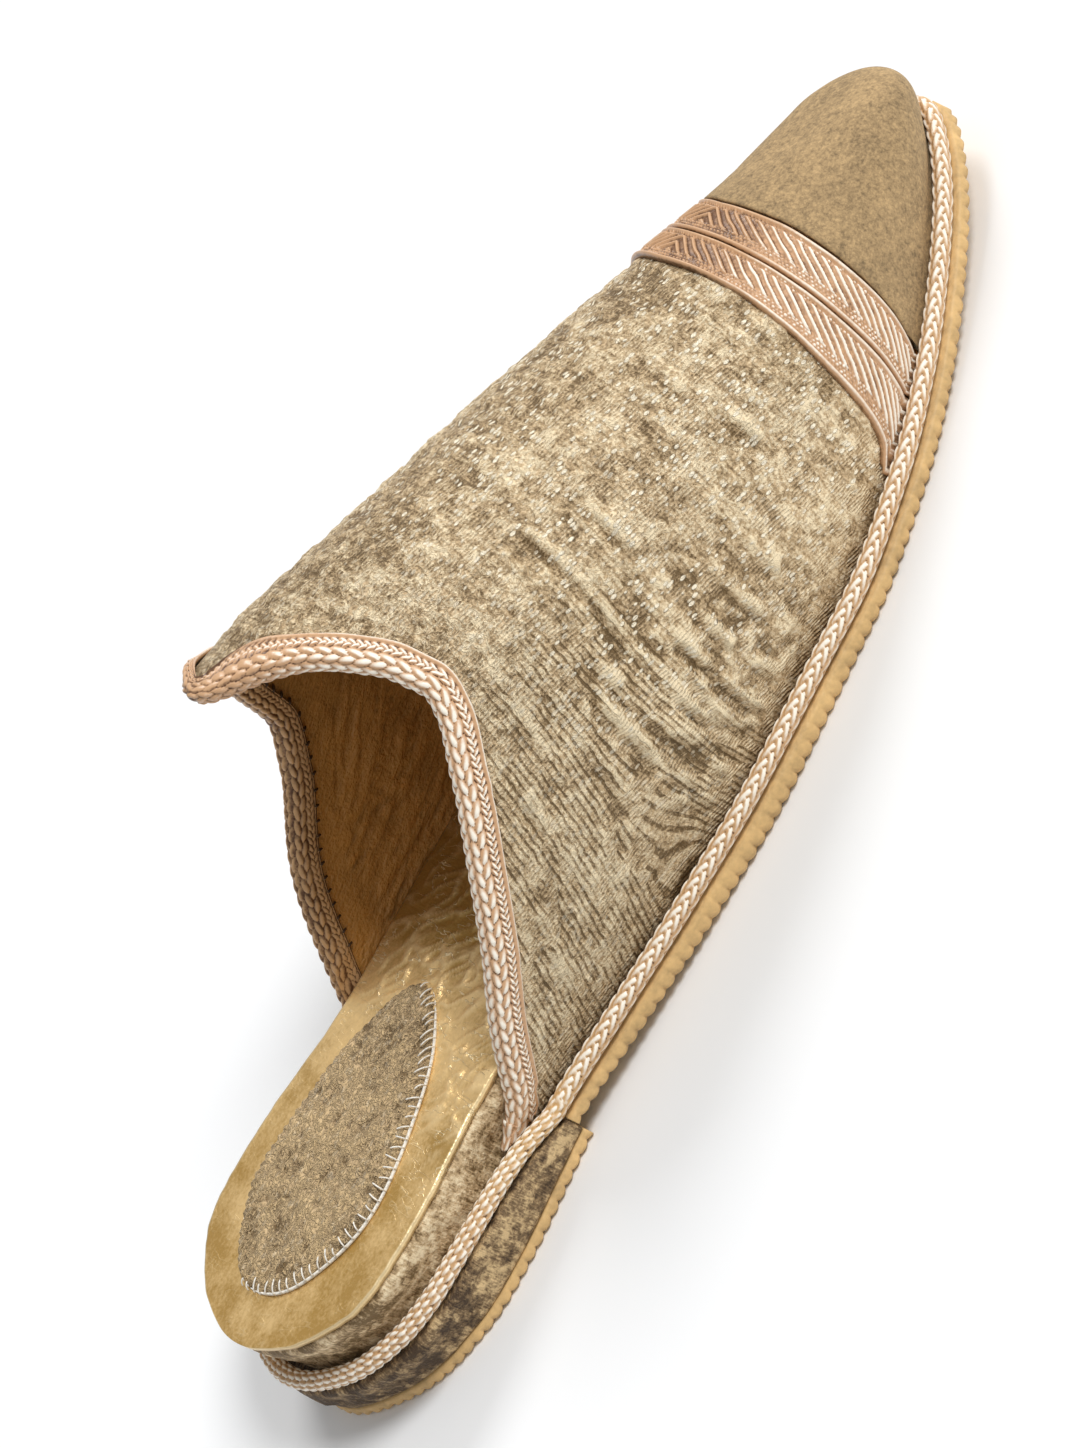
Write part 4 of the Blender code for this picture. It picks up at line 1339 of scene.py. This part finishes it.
def make_lining(look):
    """Leather inside the upper, with small folds that spread upwards and forwards from the collar's foot.

    The folds are noise over the height above the footbed, which widens forwards; they fade out upwards.
    """
    levels = np.concatenate([[SKIRT], np.linspace(0, 1, 120) ** 1.7])
    front, back, folds = [], [], []
    for side in (-1, 1):
        start = rim(levels, side) + 0.006
        along = start + (1 - start) * (np.linspace(0, 1, 221) ** 1.4)[:, None]
        level = np.broadcast_to(levels, along.shape)
        base = last(along, level)
        by = base[..., 0]
        over = (base[..., 2] - footbed_top(by)) * np.exp((88 - by) / 60)
        over = over + 0.5 * noise(by / 9, over / 4, 33)
        fold = 0.5 * noise(over / 0.7, by / 14, 31, 0.8) + 0.9 * noise(over / 0.4, by / 6, 32)
        fold = fold * ease(0.5, 0.1, level) * ease(0.018, 0.04, along - start)
        front.append(upper(along, level, side, np.clip(0.6 * fold, -0.8, 0.45) - WALL))
        back.append(upper(along, level, side, LINING_BACK))
        # Painted light and shade: paler on the folds' crests and darker between them; also paler towards the
        # footbed.
        folds.append(0.9 * ease(0.4, 0.05, level) - fold)
    points, faces = skin(both(*front), both(*back), folded=True)
    finish = lining_finish("lining_leather", look.lining)
    put("lining", points, faces, finish, "gold_leather", fold=spread(both(*folds)))


def make_toe_cap(look):
    """Suede over the point of the toe, from the front ribbon to the tip, with faint lumps."""
    levels = np.concatenate([[-0.03], np.linspace(0, 1, 60)])
    start = along_over(smooth(BANDS, 3, levels) + GAP, levels)
    along = start + (1 - start) * np.linspace(0, 1, 61)[:, None]
    level = np.broadcast_to(levels, along.shape)
    base = last(along, level)
    soft = lumps(TOE_LUMPS, base[..., 0], base[..., 2]) * ease(1.0, 0.9, level) * ease(1.0, 0.9, along)
    front = over_both(along, level, GAP + TOE_CAP_THICKNESS + soft)
    points, faces = skin(front, over_both(along, level, GAP), folded=True)
    put("toe_suede", points, faces, suede_finish("toe_suede", look.suede), "toe_suede", "toe_cap")


def make_ribbon(name, node, back, front, pitch, finish):
    """Ribbon over the toe: slanted strands with toothed edges, between two strips of beads and two cords.

    Strands keep a distance of one pitch along the ribbon and run slantwise over the middle of its width;
    beads are round domes of many sizes in rows, and each cord is half round. The tone is painted light
    and shade: dark in the gaps, pale on strands, beads and cord crests, with a painted shadow beside each
    strand, and painted darker towards the ridge.
    """
    levels = np.concatenate([[-0.025], np.linspace(0, 1, 330)])
    share = np.linspace(0, 1, 49)[:, None]
    behind, ahead = smooth(BANDS, back, levels) + GAP / 2, smooth(BANDS, front, levels) - GAP / 2
    along = along_over(behind + (ahead - behind) * share, levels)
    level = np.broadcast_to(levels, along.shape)
    grid = over_both(along, level, 0.0)
    ridge = len(levels)
    middle = travelled(grid[len(share) // 2])
    far = np.abs(middle[ridge - 1] - middle)
    wide = travelled(grid)
    across, off = wide / wide[-1], wide[-1] - wide

    lean = (far - 1.4 * off) / pitch + 0.12 * noise(far / 2.5, off / 2.5, 51)
    part = lean - np.floor(lean)
    teeth = 0.5 + 0.5 * np.cos(2 * np.pi * (off / 0.36 + 0.37 * np.floor(lean)))
    reach = np.where(part > 0.3, 0.17 + 0.13 * teeth, 0.17)
    body = ease(0.27, 0.35, across + 0.05 * teeth) * ease(0.86, 0.8, across)
    strand = body * np.sqrt(np.maximum(1 - ((part - 0.3) / reach) ** 2, 0))
    row, place = off / 0.62, far / 0.85
    place = place + 0.5 * (np.floor(row) % 2)
    size = 0.62 + 0.38 * noise(np.floor(place), np.floor(row), 52)
    dome = (2.3 * (place - np.floor(place) - 0.5)) ** 2 + (2.1 * (row - np.floor(row) - 0.5)) ** 2
    strip = np.maximum(
        ease(0.11, 0.14, across) * ease(0.36, 0.3, across), ease(0.78, 0.83, across) * ease(0.93, 0.9, across)
    )
    bead = strip * size * np.sqrt(np.maximum(1 - dome / size, 0))
    cord = np.sqrt(np.maximum(1 - ((np.minimum(across, 1 - across) - 0.06) / 0.06) ** 2, 0))

    out = np.maximum(0.75 + np.maximum(0.62 * strand, 0.5 * bead), 0.95 * cord + 0.45)
    # Painted light: pale strands, beads and cords fade and the ribbon is painted darker towards the ridge.
    painted_light = 0.35 + 0.65 * ease(6, 26, far)
    tone = 0.16 + np.maximum(0.9 * strand, 0.85 * bead) * painted_light
    # Painted shadow beside each strand, and painted shade near the ridge.
    tone = tone - 0.12 * body * np.exp(-(((part - 0.62) / 0.08) ** 2)) - 0.1 * ease(22, 4, far)
    # Painted highlight along each cord's crest.
    tone = np.where(cord > 0, 0.2 + 0.5 * painted_light * cord**3, tone)
    right, left = upper(along, level, -1, out[:, :ridge]), upper(along, level, 1, out[:, : ridge - 2 : -1])
    points, faces = skin(both(right, left), over_both(along, level, RIBBON_BACK))
    put(name, points, faces, finish, "satin_braid", node, tone=spread(tone), gold=spread(0 * tone))


def make_ribbons(look):
    """The two ribbons over the toe."""
    finish = braid_finish("ribbon_satin", look)
    make_ribbon("toe_ribbon_back", "toe_band_back", 1, 2, look.ribbon_pitch / MM, finish)
    make_ribbon("toe_ribbon_front", "toe_band_front", 2, 3, look.ribbon_pitch / MM, finish)


def collar_row(inward, outward, side):
    """(points, way, flat) of one line of the binding, inward and outward from the throat's edge.

    On the vamp it lies further in near the ridge on the right side, and nearer the edge on the left.
    Flat is its share of the full height: less at the ridge, at the sole and where the insole comes near.
    """
    along, level, way = binding_line(inward, 440, side)
    if inward > 1 and outward >= 0:
        if side < 0:
            broad, narrow = ease(24, 8, way) * ease(0, 8, way), 0.5 * ease(6, 0, way)
        else:
            broad, narrow = 0.0, 0.5 * ease(3, 0, way) + ease(0, 3, way) * ease(26, 12, way)
        here = np.array([along, level])
        wider, closer = (np.array(binding_line(share * inward, 440, side)[:2]) for share in (1.4, 0.4))
        along, level = here + broad * (wider - here) + narrow * (closer - here)
    flat = 0.25 + 0.75 * ease(-0.02, 0.05, level)
    out = outward
    if outward < BINDING_INSIDE:
        clear = last(along, level)[:, 2] - footbed_top(feather_station(along)) - INSOLE - BINDING_CLEAR
        thick = np.clip(clear / BINDING_FADE, BINDING_LEAST, 1)
        out = BINDING_INSIDE + (outward - BINDING_INSIDE) * thick
        flat = flat * thick
    elif outward > 0:
        flat = flat * (1 - 0.6 * ease(14, 2, way))
        out = outward * flat
    return upper(along, level, side, out), way, flat


def make_collar(look):
    """Plaited binding folded over the throat's edge: its face runs along the edge, raised by its strands.
    Painted shade darkens the left half's inner face, tinted golden, and the whole plait towards the ridge.
    """
    steps = np.linspace(0, 12, 400)
    face = np.stack([smooth(BINDING_FACE, index, steps) for index in (1, 2)], -1)
    width = travelled(face)
    at = np.linspace(0, width[-1], 84)
    into, out = (np.interp(at, width, face[:, index]) for index in (0, 1))
    into = [*into, 2.0, -BINDING_GAP, -BINDING_GAP, 2.0]
    out = [*out, BINDING_INSIDE, BINDING_INSIDE, 0.0, 0.0]
    halves = [zip(*[collar_row(*row, side) for row in zip(into, out)]) for side in (-1, 1)]
    right, left = ([np.stack(values, 1) for values in half] for half in halves)
    rings, way, flat = (np.concatenate([a, b[-2::-1]]) for a, b in zip(right, left))

    v = np.broadcast_to([*at, *[HIDDEN] * (len(into) - len(at))], way.shape)
    height, tone = strands(way, v, COLLAR_STRANDS, look.collar_pitch / MM, np.subtract)
    normal = np.cross(np.gradient(rings, axis=0), np.roll(rings, -1, 1) - np.roll(rings, 1, 1))
    normal /= np.maximum(np.linalg.norm(normal, axis=-1, keepdims=True), 1e-9)
    normal *= np.sign((normal * (rings - rings.mean(1, keepdims=True))).sum())
    rings = rings + (flat * (height - BINDING_SUNK * (v > HIDDEN)))[..., None] * normal
    # Painted shade: the left half's inner face is painted darker and tinted golden, and the plait darker
    # towards the ridge.
    painted_shade = (rings[..., 1] > 0) * ease(5, 8, v)
    tone = tone * (1 - 0.68 * painted_shade) * (0.45 + 0.55 * ease(4, 32, way))
    finish = braid_finish("collar_satin", look)
    put(
        "collar_plait", rings, tube(rings), finish, "satin_braid", "collar_binding",
        tone=tone, gold=0.5 * painted_shade,
    )


def make_welt(look):
    """Plaited cord all round on the sole's edge: a round section whose radius grows with its strands."""
    turns = np.linspace(0, 1, 4000)
    way = travelled(np.stack(edge(turns, WELT_INSET), -1))
    total = 2 * way[-1]
    count = round(total * MM / look.welt_pitch)
    run = np.arange(STRAND_STEPS * count) / (STRAND_STEPS * count) * total
    right = run <= way[-1]
    turn = np.interp(np.where(right, run, total - run), way, turns)[:, None]
    angle = np.linspace(0, 2 * np.pi, 36, endpoint=False)
    u, v = np.broadcast_arrays(run[:, None], angle)

    def wide(v, centre):
        off = v - math.radians(centre)
        return WELT_RADIUS * (off - 2 * np.pi * np.round(off / (2 * np.pi)))

    tables = WELT_STRANDS, WELT_BEADS
    plait, beads = (np.array(strands(u, v, table, total / count, wide)) for table in tables)
    middle = edge(turn, WELT_INSET)[0]
    height, tone = beads + (plait - beads) * ease(62, 74, middle)
    radius = 1.25 + height
    station, width = edge(np.broadcast_to(turn, u.shape), WELT_INSET - radius * np.cos(v))
    z = seat(middle) + GAP + WELT_RADIUS + radius * np.sin(v)
    rings = np.stack([station, np.where(right[:, None], -width, width), z], -1)
    gold = 0.45 + 0.55 * np.exp(-(((station - 62) / 16) ** 2))
    finish = braid_finish("welt_satin", look)
    put("welt_plait", rings, tube(rings, True), finish, "satin_braid", "welt_braid", tone=tone, gold=gold)


def make_stitches(look):
    """Dark stitches that hold the lining to the inside of the collar: short threads from one to the other."""
    part = np.linspace(0, 1, 6)
    index = np.arange(40, 245, 6)
    rows = []
    for into, out in zip(3.0 + 1.6 * part, -3.2 + 1.2 * part**1.5):
        lines = [(side, *binding_line(into, 251, side)) for side in (-1, 1)]
        rows.append([upper(along[index], level[index], side, out) for side, along, level, _ in lines])
    paths = np.moveaxis(np.array(rows), 0, 2).reshape(-1, len(part), 3)
    points, faces = threads(paths, 0.26)
    put("lining_stitches", points, faces, thread_finish("dark_thread", look.stitch_dark), "satin_braid")


def make_stage(look):
    """Pale floor, soft light from both sides above the toe, and the photograph's camera."""
    scene = bpy.context.scene
    mesh = bpy.data.meshes.new("floor")
    corners = [(-4.0, -4.0, 0.0), (4.0, -4.0, 0.0), (4.0, 4.0, 0.0), (-4.0, 4.0, 0.0)]
    mesh.from_pydata(corners, [], [(0, 1, 2, 3)])
    made = Finish("floor", Roughness=0.9)
    base = made.ramp(made.noise(made.place(), 3, 2), (0.3, look.floor), (0.7, *tints(look.floor, 0.985)))
    mesh.materials.append(made.done(Base_Color=base))
    floor = bpy.data.objects.new("floor", mesh)
    scene.collection.objects.link(floor)

    world = bpy.data.worlds.new("studio")
    world.use_nodes = True
    background = world.node_tree.nodes["Background"]
    background.inputs["Color"].default_value = (1.0, 1.0, 1.0, 1.0)
    background.inputs["Strength"].default_value = 0.41
    scene.world = world
    for name, energy, turn in (("key_near", 2.0, 27), ("key_far", 1.2, -28)):
        sun = bpy.data.lights.new(name, "SUN")
        sun.energy = energy
        sun.angle = math.radians(22)
        key = bpy.data.objects.new(name, sun)
        key.rotation_euler = (math.radians(turn), math.radians(37), 0)
        scene.collection.objects.link(key)
    scene.view_settings.view_transform = "Standard"

    azimuth, elevation = CAMERA_AZIMUTH, CAMERA_ELEVATION
    level = math.cos(elevation)
    ahead = np.array([math.sin(azimuth) * level, math.cos(azimuth) * level, -math.sin(elevation)])
    aside = np.array([math.cos(azimuth), -math.sin(azimuth), 0])
    above = np.cross(aside, ahead)
    turn = CAMERA_ROLL - CAMERA_TURN
    aside, above = (
        math.cos(turn) * aside + math.sin(turn) * above, math.cos(turn) * above - math.sin(turn) * aside
    )
    spot = (np.array(CAMERA_TARGET) - CAMERA_DISTANCE * ahead) * MM
    lens = bpy.data.cameras.new("camera")
    lens.lens = CAMERA_LENS
    lens.sensor_width = 36
    lens.clip_start = 0.01
    camera = bpy.data.objects.new("camera", lens)
    camera.matrix_world = Matrix([*np.stack([aside, above, -ahead, spot], 1), (0, 0, 0, 1)])
    scene.collection.objects.link(camera)
    scene.camera = camera


class Maker:
    """Makes one group of pieces with the scene's sizes and colours."""

    bl_options = {"REGISTER", "UNDO"}

    def execute(self, context):
        self.make(context.scene.babouche_look)
        return {"FINISHED"}


class BABOUCHE_OT_rubber(Maker, bpy.types.Operator):
    """Make the crepe outsole and top piece"""

    bl_idname = "babouche.rubber"
    bl_label = "Rubber soles"
    make = staticmethod(make_rubber)


class BABOUCHE_OT_tiers(Maker, bpy.types.Operator):
    """Make the velvet covers of the heel and the footbed"""

    bl_idname = "babouche.tiers"
    bl_label = "Heel and footbed"
    make = staticmethod(make_tiers)


class BABOUCHE_OT_insole(Maker, bpy.types.Operator):
    """Make the gold leather insole"""

    bl_idname = "babouche.insole"
    bl_label = "Insole"
    make = staticmethod(make_insole)


class BABOUCHE_OT_heel_pad(Maker, bpy.types.Operator):
    """Make the heel cushion with its cord and stitches"""

    bl_idname = "babouche.heel_pad"
    bl_label = "Heel pad"
    make = staticmethod(make_heel_pad)


class BABOUCHE_OT_vamp(Maker, bpy.types.Operator):
    """Make the velvet vamp"""

    bl_idname = "babouche.vamp"
    bl_label = "Vamp"
    make = staticmethod(make_vamp)


class BABOUCHE_OT_lining(Maker, bpy.types.Operator):
    """Make the leather lining"""

    bl_idname = "babouche.lining"
    bl_label = "Lining"
    make = staticmethod(make_lining)


class BABOUCHE_OT_toe_cap(Maker, bpy.types.Operator):
    """Make the suede toe cap"""

    bl_idname = "babouche.toe_cap"
    bl_label = "Toe cap"
    make = staticmethod(make_toe_cap)


class BABOUCHE_OT_ribbons(Maker, bpy.types.Operator):
    """Make the two toe ribbons"""

    bl_idname = "babouche.ribbons"
    bl_label = "Toe ribbons"
    make = staticmethod(make_ribbons)


class BABOUCHE_OT_collar(Maker, bpy.types.Operator):
    """Make the plaited collar"""

    bl_idname = "babouche.collar"
    bl_label = "Collar"
    make = staticmethod(make_collar)


class BABOUCHE_OT_welt(Maker, bpy.types.Operator):
    """Make the plaited welt"""

    bl_idname = "babouche.welt"
    bl_label = "Welt"
    make = staticmethod(make_welt)


class BABOUCHE_OT_stitches(Maker, bpy.types.Operator):
    """Make the stitches inside the collar"""

    bl_idname = "babouche.stitches"
    bl_label = "Stitches"
    make = staticmethod(make_stitches)


class BABOUCHE_OT_stage(Maker, bpy.types.Operator):
    """Make the floor, the light and the camera"""

    bl_idname = "babouche.stage"
    bl_label = "Stage"
    make = staticmethod(make_stage)


OPERATORS = (
    BABOUCHE_OT_rubber,
    BABOUCHE_OT_tiers,
    BABOUCHE_OT_insole,
    BABOUCHE_OT_heel_pad,
    BABOUCHE_OT_vamp,
    BABOUCHE_OT_lining,
    BABOUCHE_OT_toe_cap,
    BABOUCHE_OT_ribbons,
    BABOUCHE_OT_collar,
    BABOUCHE_OT_welt,
    BABOUCHE_OT_stitches,
    BABOUCHE_OT_stage,
)


class BABOUCHE_PT_pieces(bpy.types.Panel):
    """The slipper's pieces, sizes and colours"""

    bl_idname = "BABOUCHE_PT_pieces"
    bl_label = "Babouche"
    bl_space_type = "VIEW_3D"
    bl_region_type = "UI"
    bl_category = "Babouche"

    def draw(self, context):
        box = self.layout.box()
        for name in BaboucheLook.__annotations__:
            box.prop(context.scene.babouche_look, name)
        for operator in OPERATORS:
            self.layout.operator(operator.bl_idname)


CLASSES = (BaboucheLook, *OPERATORS, BABOUCHE_PT_pieces)


def register():
    for each in CLASSES:
        bpy.utils.register_class(each)
    bpy.types.Scene.babouche_look = PointerProperty(type=BaboucheLook)


def unregister():
    del bpy.types.Scene.babouche_look
    for each in reversed(CLASSES):
        bpy.utils.unregister_class(each)


def main():
    """Make every piece in order."""
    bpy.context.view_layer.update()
    register()
    for operator in OPERATORS:
        group, name = operator.bl_idname.split(".")
        getattr(getattr(bpy.ops, group), name)()


if __name__ == "__main__":
    main()
